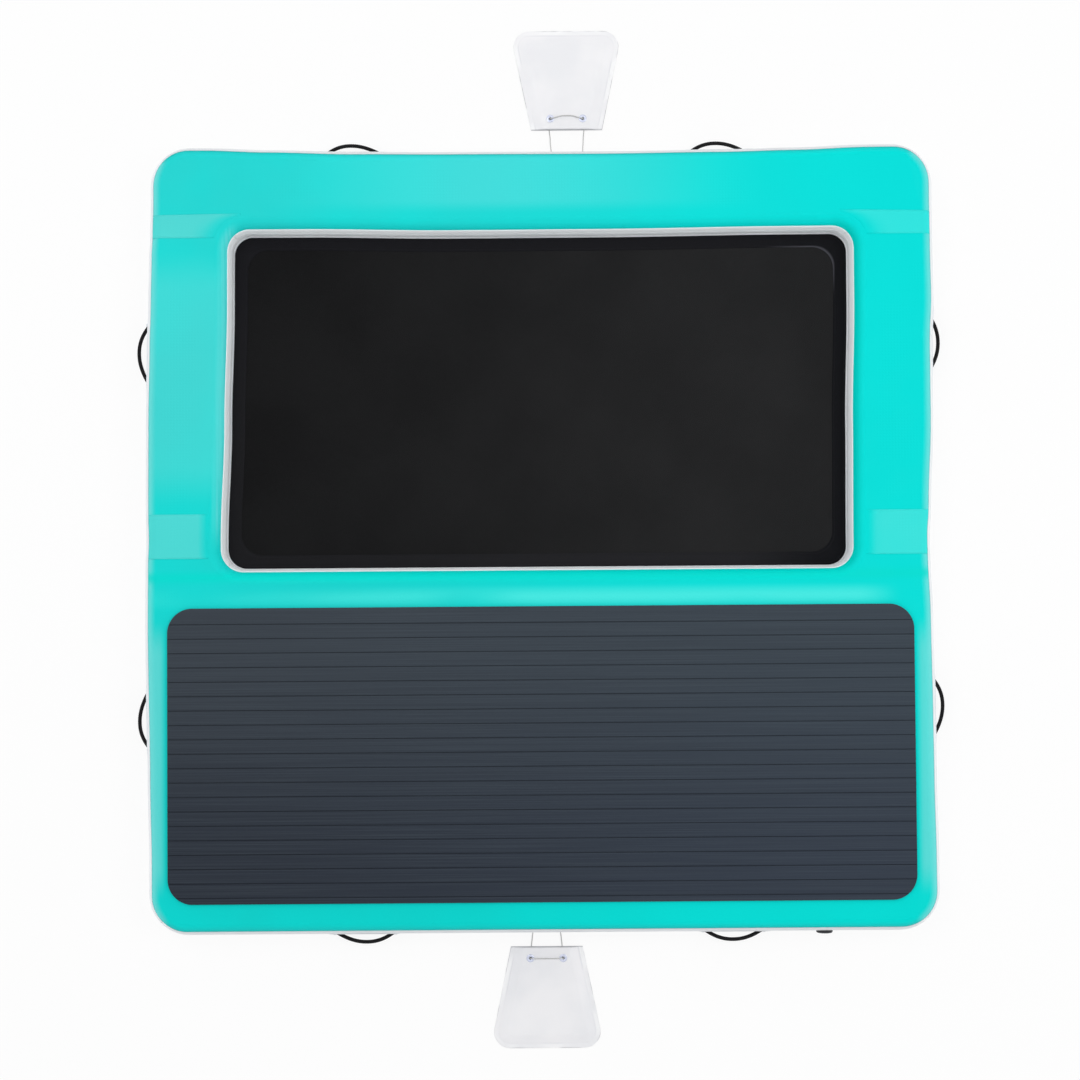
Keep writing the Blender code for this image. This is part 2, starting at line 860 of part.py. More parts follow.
def bag_outline(end):
    """Seen from above on the front wall, the mouth towards the platform and the wide end outwards."""
    near = -bag_mouth_out[end]
    far = near - bag_length
    mouth = bag_mouth_width / 2
    wide = bag_end_width / 2
    corners = [(-mouth, near), (-wide, far), (wide, far), (mouth, near)]
    return rounded(corners, [0.0, bag_corner_radius, bag_corner_radius, 0.0])


def bag_lower_panel(name, end, surface):
    """The lower panel and the side that is turned up from it all round but for the mouth."""
    points = bag_outline(end)
    bm = bmesh.new()
    floor = [bm.verts.new((x, y, 0.0)) for x, y in points]
    rim = [bm.verts.new((x, y, bag_panel_low - clearance)) for x, y in points]
    bm.faces.new(floor)
    for i in range(len(points) - 1):
        bm.faces.new((floor[i], floor[i + 1], rim[i + 1], rim[i]))
    facing(bm, (0.0, 0.0, -1.0))
    obj = keep(name, mesh_of(name, bm, closed=False), surface)
    thicken(obj, bag_panel_thickness)
    return obj


def eyelet_centres(end):
    out = bag_mouth_out[end] + eyelet_from_mouth
    return [(hand * eyelet_spacing / 2, -out) for hand in (-1, 1)]


def bag_upper_panel(name, end, surface):
    mesh = prism_mesh(name, bag_outline(end), bag_panel_low, bag_height)
    obj = keep(name, mesh, surface)
    bm = bmesh.new()
    reach = eyelet_barrel_radius + clearance
    for x, y in eyelet_centres(end):
        bmesh.ops.create_cone(
            bm,
            cap_ends=True,
            segments=round_segments,
            radius1=reach,
            radius2=reach,
            depth=4 * bag_panel_thickness,
            matrix=Matrix.Translation((x, y, bag_height)),
        )
    combine(obj, helper("eyelet_cutter", mesh_of("eyelet_cutter", bm)), "DIFFERENCE")
    named = settled(obj)
    return keep(name, named, surface)


def eyelet_mesh():
    """A spool that grips the upper panel between two flanges."""
    low = bag_panel_low - clearance
    high = bag_height + clearance
    inside = eyelet_hole_radius
    profile = [
        (inside, low - eyelet_flange_thickness),
        (eyelet_flange_radius - clearance, low - eyelet_flange_thickness),
        (eyelet_flange_radius - clearance, low),
        (eyelet_barrel_radius, low),
        (eyelet_barrel_radius, high),
        (eyelet_flange_radius, high),
        (eyelet_flange_radius - eyelet_flange_thickness, high + eyelet_flange_thickness),
        (inside, high + eyelet_flange_thickness),
    ]
    return ring_mesh("eyelet", profile, 20)


def smooth_route(route, count):
    """Evenly spaced points on a smooth curve through the route's own points."""
    ends = [route[0] * 2 - route[1], *route, route[-1] * 2 - route[-2]]
    dense = []
    for a, b, c, d in zip(ends, ends[1:], ends[2:], ends[3:]):
        for i in range(24):
            t = i / 24
            dense.append(
                (b * 2 + (c - a) * t + (a * 2 - b * 5 + c * 4 - d) * t * t + (b * 3 - a - c * 3 + d) * t**3) / 2
            )
    dense.append(route[-1])
    reach = [0.0]
    for first, second in zip(dense, dense[1:]):
        reach.append(reach[-1] + (second - first).length)
    points = []
    k = 0
    for i in range(count):
        goal = reach[-1] * i / (count - 1)
        while k < len(reach) - 2 and reach[k + 1] < goal:
            k += 1
        share = (goal - reach[k]) / (reach[k + 1] - reach[k])
        points.append(dense[k].lerp(dense[k + 1], share))
    return points


def cord_route(end):
    """From one anchor eye to the floor, into the bag, up an eyelet, over to the other one and back.

    Each point is (x, distance out, height); the second half is the first half's mirror image.
    """
    out = -anchor_axis[0]
    high = anchor_axis[1]
    mouth = bag_mouth_out[end]
    eyelet_out = mouth + eyelet_from_mouth
    bow = cord_bows[end]
    on_floor = cord_radius + clearance
    in_bag = bag_panel_thickness + clearance + cord_radius
    on_panel = bag_height + clearance + cord_radius
    on_flange = on_panel + 2 * clearance + eyelet_flange_thickness
    half_gap = anchor_half_gaps[end]
    eye_face = half_gap - 0.0005
    hole_x = eyelet_spacing / 2 + 0.0012
    bend = cord_bend
    start = out + bend
    run = mouth - 0.022 - start
    half = [
        (half_gap + anchor_eye_length - 0.001, out, high),
        (half_gap + 0.5 * anchor_eye_length, out, high),
    ]
    for degrees in (0, 30, 60, 90):
        turn = math.radians(degrees)
        across = bend * (1 - math.cos(turn))
        half.append((eye_face - bend * math.sin(turn), out + across, high - 0.25 * across))
    half += [
        (eye_face - bend, start + 0.17 * run, high - 0.007),
        (eye_face - bend + 0.001, start + 0.42 * run, high - 0.024),
        (eye_face - bend + 0.002, start + 0.63 * run, on_floor + 0.0050),
        (eye_face - bend + 0.003, start + run, on_floor + 0.0003),
        (eye_face - bend + 0.005, mouth - 0.004, in_bag + 0.0003),
        (eye_face - bend + 0.006, mouth + 0.015, in_bag + 0.0002),
        (hole_x - 0.0005, eyelet_out - bend - 0.008, in_bag + 0.0001),
    ]
    for degrees in (0, 30, 60, 90):
        turn = math.radians(degrees)
        half.append((hole_x, eyelet_out - bend + bend * math.sin(turn), in_bag + bend * (1 - math.cos(turn))))
    for degrees in (0, 30, 60, 90):
        turn = math.radians(degrees)
        x = hole_x - bend + bend * math.cos(turn)
        half.append((x, eyelet_out, on_flange - bend + bend * math.sin(turn)))
    half += [
        (hole_x - bend - 0.008, eyelet_out + 0.20 * bow, on_flange),
        (hole_x - bend - 0.018, eyelet_out + 0.60 * bow, on_panel + 0.0008),
        (hole_x - bend - 0.030, eyelet_out + 0.92 * bow, on_panel + 0.0002),
    ]
    middle = [(0.0, eyelet_out + bow, on_panel)]
    points = half + middle + [(-x, y, z) for x, y, z in reversed(half)]
    return [Vector((x, -y, z)) for x, y, z in points]


def anchor_mesh(end, surface):
    """The welded patch with two eyes, whose holes lie on one line, for the ends of a bag's cord."""
    obj = patch_sheet("lanyard_anchor", anchor_patch_length, anchor_patch_top_angle, surface)
    half_gap = anchor_half_gaps[end]
    for hand in (-1, 1):
        ends = sorted((hand * half_gap, hand * (half_gap + anchor_eye_length)))
        combine(obj, bar_along_x("eye", *ends, anchor_axis, anchor_hole_radius + anchor_eye_rim), "UNION")
    for hand in (-1, 1):
        reach = (half_gap - 0.001, half_gap + anchor_eye_length + 0.001)
        ends = sorted(hand * x for x in reach)
        combine(obj, bar_along_x("eye_hole", *ends, anchor_axis, anchor_hole_radius), "DIFFERENCE")
    return settled(obj)


def ballast_bags(white, nickel, cord_white):
    eyelet = eyelet_mesh()
    for end, (direction, along) in bag_centres.items():
        frame = frame_on(direction, along)
        keep(f"lanyard_anchor_{end}", anchor_mesh(end, white), white).matrix_world = frame
        bag_lower_panel(f"ballast_bag_{end}_lower_panel", end, white).matrix_world = frame
        bag_upper_panel(f"ballast_bag_{end}_upper_panel", end, white).matrix_world = frame
        for hand, (x, y) in zip(("left", "right"), eyelet_centres(end), strict=True):
            ring = keep(f"ballast_bag_{end}_eyelet_{hand}", eyelet, nickel)
            ring.matrix_world = frame @ Matrix.Translation((x, y, 0.0))
        points = smooth_route(cord_route(end), cord_points)
        cord = tube(f"ballast_bag_{end}_cord", points, cord_radius, cord_white, 2)
        cord.matrix_world = frame


# Inflation valve, drawn about Z with +Z outwards and the widest point of the wall at zero

flange_back = valve_gasket_thickness + 2 * clearance
flange_front = flange_back + valve_flange_thickness
seat_front = valve_seat_thickness - valve_depth
nut_gap = valve_nut_radius**2 * wall_bulge / (2 * half_thickness**2)


def valve_frame():
    wall = frame_on(270.0, platform_width / 2 - valve_from_side)
    return wall @ Matrix.Translation((0.0, -wall_bulge, half_thickness)) @ Matrix.Rotation(math.pi / 2, 4, "X")


def wall_cutter(name, lift):
    """The inside of the side wall's section near the valve, lifted, in the valve's own frame."""
    section = [wall_section(a, lift) for a in tape_angles]
    back = -valve_depth
    points = [(out - wall_bulge, height - half_thickness) for out, height in section]
    points = [(back, points[0][1]), *points, (back, points[-1][1])]
    bm = bmesh.new()
    half = 2 * valve_flange_radius
    rows = [[bm.verts.new((x, y, z)) for z, y in points] for x in (-half, half)]
    for j in range(len(points)):
        k = (j + 1) % len(points)
        bm.faces.new((rows[0][j], rows[1][j], rows[1][k], rows[0][k]))
    for row in rows:
        bm.faces.new(row)
    return helper(name, mesh_of(name, bm))


def cylinder_cutter(name, centres, radius, low, high, segments=round_segments):
    """Upright cylinders of one size, as one cutter."""
    bm = bmesh.new()
    for x, y in centres:
        bmesh.ops.create_cone(
            bm,
            cap_ends=True,
            segments=segments,
            radius1=radius,
            radius2=radius,
            depth=high - low,
            matrix=Matrix.Translation((x, y, (low + high) / 2)),
        )
    return helper(name, mesh_of(name, bm))


def round_circle(radius, count):
    turns = [2 * math.pi * (i + 0.5) / count for i in range(count)]
    return [(radius * math.cos(turn), radius * math.sin(turn)) for turn in turns]


def valve_hole(wall):
    """Opens the front wall's tape for the valve."""
    reach = valve_barrel_radius + clearance
    cutter = cylinder_cutter("valve_hole", [(0.0, 0.0)], reach, -0.020, 0.020)
    cutter.matrix_world = valve_frame()
    combine(wall, cutter, "DIFFERENCE")


def valve_body(surface):
    """Flange, barrel and a seat plate with ports round a guide for the stem."""
    profile = [
        (valve_bore_radius, flange_front),
        (valve_flange_radius, flange_front),
        (valve_flange_radius, flange_back),
        (valve_barrel_radius, flange_back),
        (valve_barrel_radius, -valve_depth),
        (poppet_stem_radius + clearance, -valve_depth),
        (poppet_stem_radius + clearance, seat_front),
        (valve_bore_radius, seat_front),
    ]
    body = keep("valve_body", ring_mesh("valve_body", profile), surface)
    ports = round_circle((poppet_stem_radius + poppet_disc_radius) / 2, valve_port_count)
    low = -valve_depth - 0.002
    high = seat_front + 0.002
    combine(body, cylinder_cutter("valve_ports", ports, valve_port_radius, low, high, 8), "DIFFERENCE")
    return body


def valve_gasket(surface):
    """A ring whose back follows the bulge of the wall."""
    low = -2 * nut_gap - tape_thickness
    high = flange_back - clearance
    inside = valve_barrel_radius + clearance
    outside = valve_flange_radius - clearance
    profile = [(inside, low), (inside, high), (outside, high), (outside, low)]
    gasket = keep("valve_gasket", ring_mesh("valve_gasket", profile), surface)
    combine(gasket, wall_cutter("gasket_seat", clearance), "DIFFERENCE")
    return gasket


def valve_nut(surface):
    """The ring that screws on the barrel inside the air chamber."""
    high = -tape_thickness - 2 * nut_gap
    low = high - valve_nut_thickness
    inside = valve_barrel_radius + clearance
    profile = [(inside, low), (inside, high), (valve_nut_radius, high), (valve_nut_radius, low)]
    return keep("valve_nut", ring_mesh("valve_nut", profile), surface)


def poppet_head_back():
    return seat_front + clearance + spring_length + clearance


def valve_poppet(surface):
    """The disc that closes the ports from inside, on a stem whose head is pressed to let air out."""
    head_back = poppet_head_back()
    disc_front = -valve_depth - clearance
    profile = [
        (poppet_disc_radius, disc_front - poppet_disc_thickness),
        (poppet_disc_radius, disc_front),
        (poppet_stem_radius, disc_front),
        (poppet_stem_radius, head_back),
        (poppet_head_radius, head_back),
        (poppet_head_radius, head_back + poppet_head_thickness),
    ]
    return keep("valve_poppet", turned_mesh("valve_poppet", profile), surface)


def valve_spring(surface):
    """A coil round the stem, between the seat plate and the head."""
    start = seat_front + clearance + spring_wire_radius
    rise = spring_length - 2 * spring_wire_radius
    steps = 9 * spring_turns
    points = []
    for i in range(steps + 1):
        turn = 2 * math.pi * spring_turns * i / steps
        height = start + rise * i / steps
        points.append((spring_radius * math.cos(turn), spring_radius * math.sin(turn), height))
    pitch_gap = rise / spring_turns - 2 * spring_wire_radius
    print(f"least gap between the turns of the valve spring: {1000 * pitch_gap:.2f} mm")
    return tube("valve_spring", points, spring_wire_radius, surface, 1)


def valve_cap(surface):
    """A quarter-turn cap with a skirt in the bore and finger notches round its edge."""
    back = flange_front + clearance
    front = back + cap_thickness
    skirt_outside = valve_bore_radius - clearance
    skirt_inside = skirt_outside - cap_skirt_wall
    edge = valve_flange_radius - 2 * clearance
    low = flange_front - cap_skirt_depth
    profile = [
        (skirt_outside, low),
        (skirt_outside, back),
        (edge, back),
        (edge, front - cap_thickness / 3),
        (edge - cap_thickness / 2, front),
    ]
    cap = keep("valve_cap", turned_mesh("valve_cap", profile), surface)
    hollow = cylinder_cutter("cap_hollow", [(0.0, 0.0)], skirt_inside, low - 0.01, back)
    combine(cap, hollow, "DIFFERENCE")
    places = round_circle(edge, cap_notch_count)
    notches = cylinder_cutter("cap_notches", places, cap_notch_radius, back - 0.002, front + 0.002, 8)
    combine(cap, notches, "DIFFERENCE")
    return cap


def valve(black, rubber, steel):
    place = valve_frame()
    pieces = [valve_body(black), valve_gasket(rubber), valve_nut(black), valve_poppet(black)]
    pieces += [valve_spring(steel), valve_cap(black)]
    for piece in pieces:
        for modifier in piece.modifiers:
            modifier.object.matrix_world = place
        piece.matrix_world = place


def hull(teal, pale_teal, white, grey):
    for panel in ("front_deck", "rear_beam"):
        wide_skin(f"top_skin_{panel}", panel, teal, False)
        wide_skin(f"bottom_skin_{panel}", panel, grey, True)
    for name, direction in (("left", 180.0), ("right", 0.0)):
        beam_skin(f"top_skin_{name}_beam", direction, teal, False)
        beam_skin(f"bottom_skin_{name}_beam", direction, grey, True)
        seam_band(f"seam_band_{name}_rear", direction, True, pale_teal)
        seam_band(f"seam_band_{name}_front", direction, False, pale_teal)
    for name, direction in (("right", 0.0), ("rear", 90.0), ("left", 180.0), ("front", 270.0)):
        wall = rail(f"outer_rail_{name}", outer, direction, white)
        rail(f"inner_rail_{name}", opening, direction, white)
        if name == "front":
            valve_hole(wall)


def build():
    clear_scene()
    teal = material("teal coated fabric", 20, 214, 210, 0.45)
    pale_teal = material("pale teal seam band", 70, 218, 214, 0.45)
    white = material("white coated fabric", 236, 238, 240, 0.40)
    grey = material("pale grey bottom fabric", 214, 218, 222, 0.50)
    black_net = material("black net", 32, 32, 34, 0.80)
    black_webbing = material("black webbing hem", 20, 21, 25, 0.75)
    slate = material("slate deck foam", 58, 68, 76, 0.85)
    rope = material("black rope", 16, 16, 18, 0.70)
    nickel = material("nickel", 190, 196, 210, 0.25, 1.0)
    cord_white = material("white cord", 226, 226, 224, 0.75)
    yarn = material("white polyester yarn", 230, 230, 226, 0.80)
    valve_black = material("charcoal valve plastic", 52, 54, 60, 0.45)
    rubber = material("black rubber", 24, 24, 24, 0.70)
    steel = material("spring steel", 170, 172, 176, 0.30, 1.0)
    hull(teal, pale_teal, white, grey)
    tube("drop_yarn_front_deck", yarn_route(deck_yarn_places()), yarn_radius, yarn, 0)
    tube("drop_yarn_frame", yarn_route(frame_yarn_places()), yarn_radius, yarn, 0)
    net_flange(white)
    lounge_net(black_net)
    net_hem(black_webbing)
    deck_pad(slate)
    handles(rope, white)
    ballast_bags(white, nickel, cord_white)
    valve(valve_black, rubber, steel)


build()
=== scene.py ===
import math

import bmesh
import bpy
from mathutils import Matrix, Vector, noise


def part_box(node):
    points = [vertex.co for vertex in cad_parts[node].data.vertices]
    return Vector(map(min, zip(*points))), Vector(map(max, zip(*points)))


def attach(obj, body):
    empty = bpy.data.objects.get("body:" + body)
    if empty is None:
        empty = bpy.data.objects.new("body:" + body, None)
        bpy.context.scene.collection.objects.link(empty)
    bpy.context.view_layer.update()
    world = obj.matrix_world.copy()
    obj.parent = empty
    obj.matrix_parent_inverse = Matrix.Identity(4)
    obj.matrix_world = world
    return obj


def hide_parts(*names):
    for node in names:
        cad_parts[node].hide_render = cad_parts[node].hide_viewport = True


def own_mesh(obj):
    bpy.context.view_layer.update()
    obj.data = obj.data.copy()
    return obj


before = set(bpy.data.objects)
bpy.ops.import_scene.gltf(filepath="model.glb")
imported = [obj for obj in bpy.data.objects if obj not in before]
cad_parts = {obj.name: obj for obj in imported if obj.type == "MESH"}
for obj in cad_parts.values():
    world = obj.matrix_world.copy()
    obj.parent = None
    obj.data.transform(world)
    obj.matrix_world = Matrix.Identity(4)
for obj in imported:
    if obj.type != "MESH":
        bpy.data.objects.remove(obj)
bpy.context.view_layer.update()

# Sizes in metres, the same as the frame's. Of two values, 1 has the outer wall's and -1 has the opening's.

half_width = 1.2375
half_length = 1.230
thickness = 0.150
bulge = 0.045
outer_radius = 0.085
opening_x = 1.0205
opening_y = (-0.1307, 1.014)
opening_radius = 0.105
front_seam_y = 0.008
front_band_rear_y = 0.0855
rear_seam_y = 0.98325
rear_band_width = 0.072
tape_lip = {1: math.radians(39.0), -1: math.acos(0.6)}
skin_lip = {1: math.radians(58.0), -1: math.radians(70.5)}
shoulder_length = {1: 0.0322, -1: 0.0475}
tape_thick = 0.0014
weld_lines = (0.0430, 0.0370)
skin_thick = 0.0012
net_height = 0.040
pad_high = 0.1559

# Each handle: its wall's bearing in degrees, its place along the wall, how far its loop leans to one side

handles = {
    "front_left": (270.0, -0.560, 0.05),
    "front_right": (270.0, 0.602, -0.02),
    "rear_left": (90.0, -0.586, 0.10),
    "rear_right": (90.0, 0.575, 0.07),
    "left_front": (180.0, -0.558, 0.09),
    "left_rear": (180.0, 0.598, -0.07),
    "right_front": (0.0, -0.538, 0.08),
    "right_rear": (0.0, 0.621, 0.0),
}
handle_axis = (-0.04886, 0.03713)

# Each bag: its wall and place along it, how far out its mouth is, half the gap between its anchor's eyes,
# the bow of the cord between its eyelets, and the seed of its folds

bags = {
    "rear": {"wall": (90.0, 0.095), "mouth": 0.133, "gap": 0.057, "bow": 0.009, "seed": 3.0},
    "front": {"wall": (270.0, 0.012), "mouth": 0.104, "gap": 0.050, "bow": 0.001, "seed": 7.0},
}
bag_length = 0.321
bag_high = 0.014
bag_weld = 0.014
eyelet_down = 0.0355
eyelet_across = 0.052
anchor_out = 0.04414
anchor_high = 0.03863

outer = {
    "x": (bulge - half_width, half_width - bulge),
    "y": (bulge - half_length, half_length - bulge),
    "radius": outer_radius,
    "facing": 1,
}
opening = {"x": (-opening_x, opening_x), "y": opening_y, "radius": opening_radius, "facing": -1}


# Camera, floor and light

horizon_light = 1.40
zenith_light = 0.42
floor_glow = 0.88
white = (1.0, 1.0, 1.0, 1.0)


def linked(obj):
    bpy.context.scene.collection.objects.link(obj)
    return obj


def add_camera():
    data = bpy.data.cameras.new("camera")
    data.lens = 62.6
    data.sensor_width = 36.0
    data.clip_end = 60.0
    camera = linked(bpy.data.objects.new("camera", data))
    place = Vector((0.0, -0.157, 6.0))
    ahead = (Vector((0.0, 0.0, 0.075)) - place).normalized()
    roll = math.radians(0.42)
    right = ahead.cross(Vector((math.sin(roll), math.cos(roll), 0.0))).normalized()
    turn = Matrix((right, right.cross(ahead), -ahead)).transposed()
    camera.matrix_world = Matrix.Translation(place) @ turn.to_4x4()
    bpy.context.scene.camera = camera


def add_light(name, place, aim, width, watts):
    data = bpy.data.lights.new(name, "AREA")
    data.size = width
    data.energy = watts
    light = linked(bpy.data.objects.new(name, data))
    light.location = place
    light.rotation_euler = (Vector(aim) - Vector(place)).to_track_quat("-Z", "Y").to_euler()


def add_node(tree, kind, sockets=None, **settings):
    """A shader node. Each of its sockets gets a number, a colour or another node's output."""
    made = tree.nodes.new("ShaderNode" + kind)
    for key, value in settings.items():
        setattr(made, key, value)
    for socket, given in (sockets or {}).items():
        if isinstance(given, bpy.types.NodeSocket):
            tree.links.new(given, made.inputs[socket])
        else:
            made.inputs[socket].default_value = given
    return made


def seen_rays(tree):
    """1 for a ray from the camera, and for one that a glossy or clear surface sends on."""
    path = add_node(tree, "LightPath").outputs
    seen = path["Is Camera Ray"]
    for kind in ("Is Glossy Ray", "Is Transmission Ray"):
        seen = add_node(tree, "Math", {0: seen, 1: path[kind]}, operation="MAXIMUM").outputs[0]
    return seen


def cleared(owner):
    owner.use_nodes = True
    owner.node_tree.nodes.clear()
    return owner.node_tree


def show(tree, output, share, lit, seen):
    mixed = add_node(tree, "MixShader", {0: share, 1: lit.outputs[0], 2: seen.outputs[0]})
    add_node(tree, output, {"Surface": mixed.outputs[0]})


def add_world():
    world = bpy.data.worlds.new("studio")
    bpy.context.scene.world = world
    tree = cleared(world)
    seen = add_node(tree, "Background", {"Color": white, "Strength": 1.0})
    towards = add_node(tree, "SeparateXYZ", {0: add_node(tree, "TexCoord").outputs["Generated"]})
    levels = {"Value": towards.outputs["Z"], "From Min": 0.0, "From Max": 0.85}
    levels.update({"To Min": horizon_light, "To Max": zenith_light})
    level = add_node(tree, "MapRange", levels, interpolation_type="SMOOTHSTEP").outputs["Result"]
    lit = add_node(tree, "Background", {"Color": (0.99, 0.995, 1.0, 1.0), "Strength": level})
    show(tree, "OutputWorld", seen_rays(tree), lit, seen)


def add_floor():
    bm = bmesh.new()
    bmesh.ops.create_grid(bm, x_segments=2, y_segments=2, size=9.0)
    mesh = bpy.data.meshes.new("floor")
    bm.to_mesh(mesh)
    bm.free()
    floor = linked(bpy.data.objects.new("floor", mesh))
    floor.location.z = -0.0006
    made = bpy.data.materials.new("floor white")
    tree = cleared(made)
    diffuse = add_node(tree, "BsdfDiffuse", {"Color": (0.96, 0.96, 0.96, 1.0)})
    glow = add_node(tree, "Emission", {"Color": white, "Strength": 1.0})
    seen = add_node(tree, "Math", {0: seen_rays(tree), 1: floor_glow}, operation="MULTIPLY")
    show(tree, "OutputMaterial", seen.outputs[0], diffuse, glow)
    mesh.materials.append(made)


bpy.context.scene.view_settings.view_transform = "Standard"
add_camera()
add_world()
add_light("softbox", (-2.6, 2.2, 6.5), (-0.2, 0.1, 0.0), 4.0, 122.0)
add_light("key", (3.6, 0.2, 5.6), (0.0, 0.0, 0.0), 3.0, 88.0)
add_floor()


# Materials. Pieces carry values in metres, such as along and across, that seams, stitches and plaits follow.


def linear(value):
    value = value / 255
    return value / 12.92 if value <= 0.04045 else ((value + 0.055) / 1.055) ** 2.4


def colour(red, green, blue, dim=1.0):
    return (*(dim * linear(part) for part in (red, green, blue)), 1.0)


class Look:
    """A procedural material, built from small steps. Its base is the colour so far."""

    def __init__(self, name, roughness, metallic=0.0, specular=0.5):
        self.made = bpy.data.materials.new(name)
        self.made.use_nodes = True
        self.tree = self.made.node_tree
        self.shader = self.tree.nodes["Principled BSDF"].inputs
        self.shader["Roughness"].default_value = roughness
        self.shader["Metallic"].default_value = metallic
        self.shader["Specular IOR Level"].default_value = specular
        self.base = None

    def node(self, kind, sockets=None, **settings):
        return add_node(self.tree, kind, sockets, **settings)

    def place(self):
        """Where a point is on its object, in metres."""
        return self.node("TexCoord").outputs["Object"]

    def axes(self):
        return self.node("SeparateXYZ", {0: self.place()}).outputs

    def value(self, name):
        return self.node("Attribute", attribute_name=name).outputs["Fac"]

    def maths(self, operation, first, *others):
        for other in others:
            first = self.node("Math", {0: first, 1: other}, operation=operation).outputs[0]
        return first

    def times(self, *sources):
        """A product. A tuple in it is a source with the values between which it rises."""
        sources = [self.rise(*source) if isinstance(source, tuple) else source for source in sources]
        return self.maths("MULTIPLY", *sources)

    def most(self, *sources):
        return self.maths("MAXIMUM", *sources)

    def size(self, source, middle=0.0):
        """How far a source is from a middle value."""
        return self.maths("ABSOLUTE", self.maths("SUBTRACT", source, middle), 0.0)

    def rise(self, source, low, high, to_low=0.0, to_high=1.0):
        """A smooth change from one amount to another, between two values of the source."""
        sockets = {"Value": source, "From Min": low, "From Max": high, "To Min": to_low, "To Max": to_high}
        return self.node("MapRange", sockets, interpolation_type="SMOOTHSTEP").outputs["Result"]

    def near(self, source, middle, reach):
        """1 at a value, falling smoothly to 0 at the reach."""
        return self.rise(self.size(source, middle), reach, 0.0)

    def cloud(self, scale, detail=3.0, roughness=0.5, stretch=None):
        """Soft noise over the piece, which may be stretched along each axis."""
        place = self.place()
        if stretch:
            place = self.node("Mapping", {"Vector": place, "Scale": stretch}).outputs["Vector"]
        sockets = {"Vector": place, "Scale": scale, "Detail": detail, "Roughness": roughness}
        return self.node("TexNoise", sockets).outputs["Fac"]

    def wave(self, source, period):
        """A smooth wave from 0 to 1 over each period of a length."""
        turned = self.maths("SINE", self.times(source, 2 * math.pi / period), 0.0)
        return self.maths("ADD", self.times(turned, 0.5), 0.5)

    def slanted(self, slant, period):
        """A wave along a piece that slants across it."""
        skew = self.times(self.value("across"), slant)
        return self.wave(self.maths("ADD", self.value("along"), skew), period)

    def mix(self, factor, *shades):
        """Mixes two shades. Each is an output, or else the numbers that colour takes."""
        first, second = (colour(*shade) if isinstance(shade, tuple) else shade for shade in shades)
        return self.node("Mix", {0: factor, 6: first, 7: second}, data_type="RGBA").outputs[2]

    def corners(self, x_range, y_range, shades):
        """Changes softly between the shades at the rear left, rear right, front left and front right."""
        x, y, _ = self.axes()
        right = self.rise(x, *x_range)
        rear, front = (self.mix(right, *shades[i : i + 2]) for i in (0, 2))
        return self.mix(self.rise(y, *y_range), rear, front)

    def coat(self, shade, *amounts):
        """Lays a shade over the base, by the product of its amounts."""
        self.base = self.mix(self.times(*amounts), self.base, shade)

    def roughen(self, clouds, low, high):
        self.tree.links.new(self.rise(clouds, 0.3, 0.7, low, high), self.shader["Roughness"])

    def bump(self, height, distance, strength=0.5):
        sockets = {"Distance": distance, "Strength": strength, "Height": height}
        normal = self.shader["Normal"]
        if normal.is_linked:
            sockets["Normal"] = normal.links[0].from_socket
        self.tree.links.new(self.node("Bump", sockets).outputs["Normal"], normal)

    def scrim(self, depth):
        """The fine plain weave that shows through a coated fabric."""
        x, y, z = (self.wave(axis, 0.0012) for axis in self.axes())
        self.bump(self.maths("ADD", self.times(x, y), self.times(z, 0.5)), depth)

    def finish(self):
        self.tree.links.new(self.base, self.shader["Base Color"])
        return self.made


def coated(name, main, other, roughness, cloud_scale=1.6):
    """Coated fabric: two close shades in large soft clouds, a fine weave and an uneven sheen."""
    look = Look(name, roughness, specular=0.45)
    look.base = look.mix(look.rise(look.cloud(cloud_scale), 0.35, 0.65), main, other)
    look.roughen(look.cloud(14.0), roughness - 0.05, roughness + 0.06)
    look.bump(look.cloud(9.0, 2.0), 0.0025, 0.25)
    look.scrim(0.00010)
    return look


def teal_base(look, shades):
    """A painted light gradient that changes softly from the left rear to the right front, with pale clouds.
    """
    base = look.corners((-1.25, 1.25), (1.25, -1.25), shades)
    return look.mix(look.rise(look.cloud(2.2), 0.35, 0.7, 0.0, 0.35), base, shades[4])


def teal_finish(look):
    look.roughen(look.cloud(12.0), 0.38, 0.5)
    look.bump(look.cloud(7.0, 2.0), 0.004, 0.25)
    x, y, _ = look.axes()
    look.bump(look.times(look.wave(x, 0.0095), look.wave(y, 0.0095)), 0.00025)
    look.scrim(0.00008)
    return look.finish()


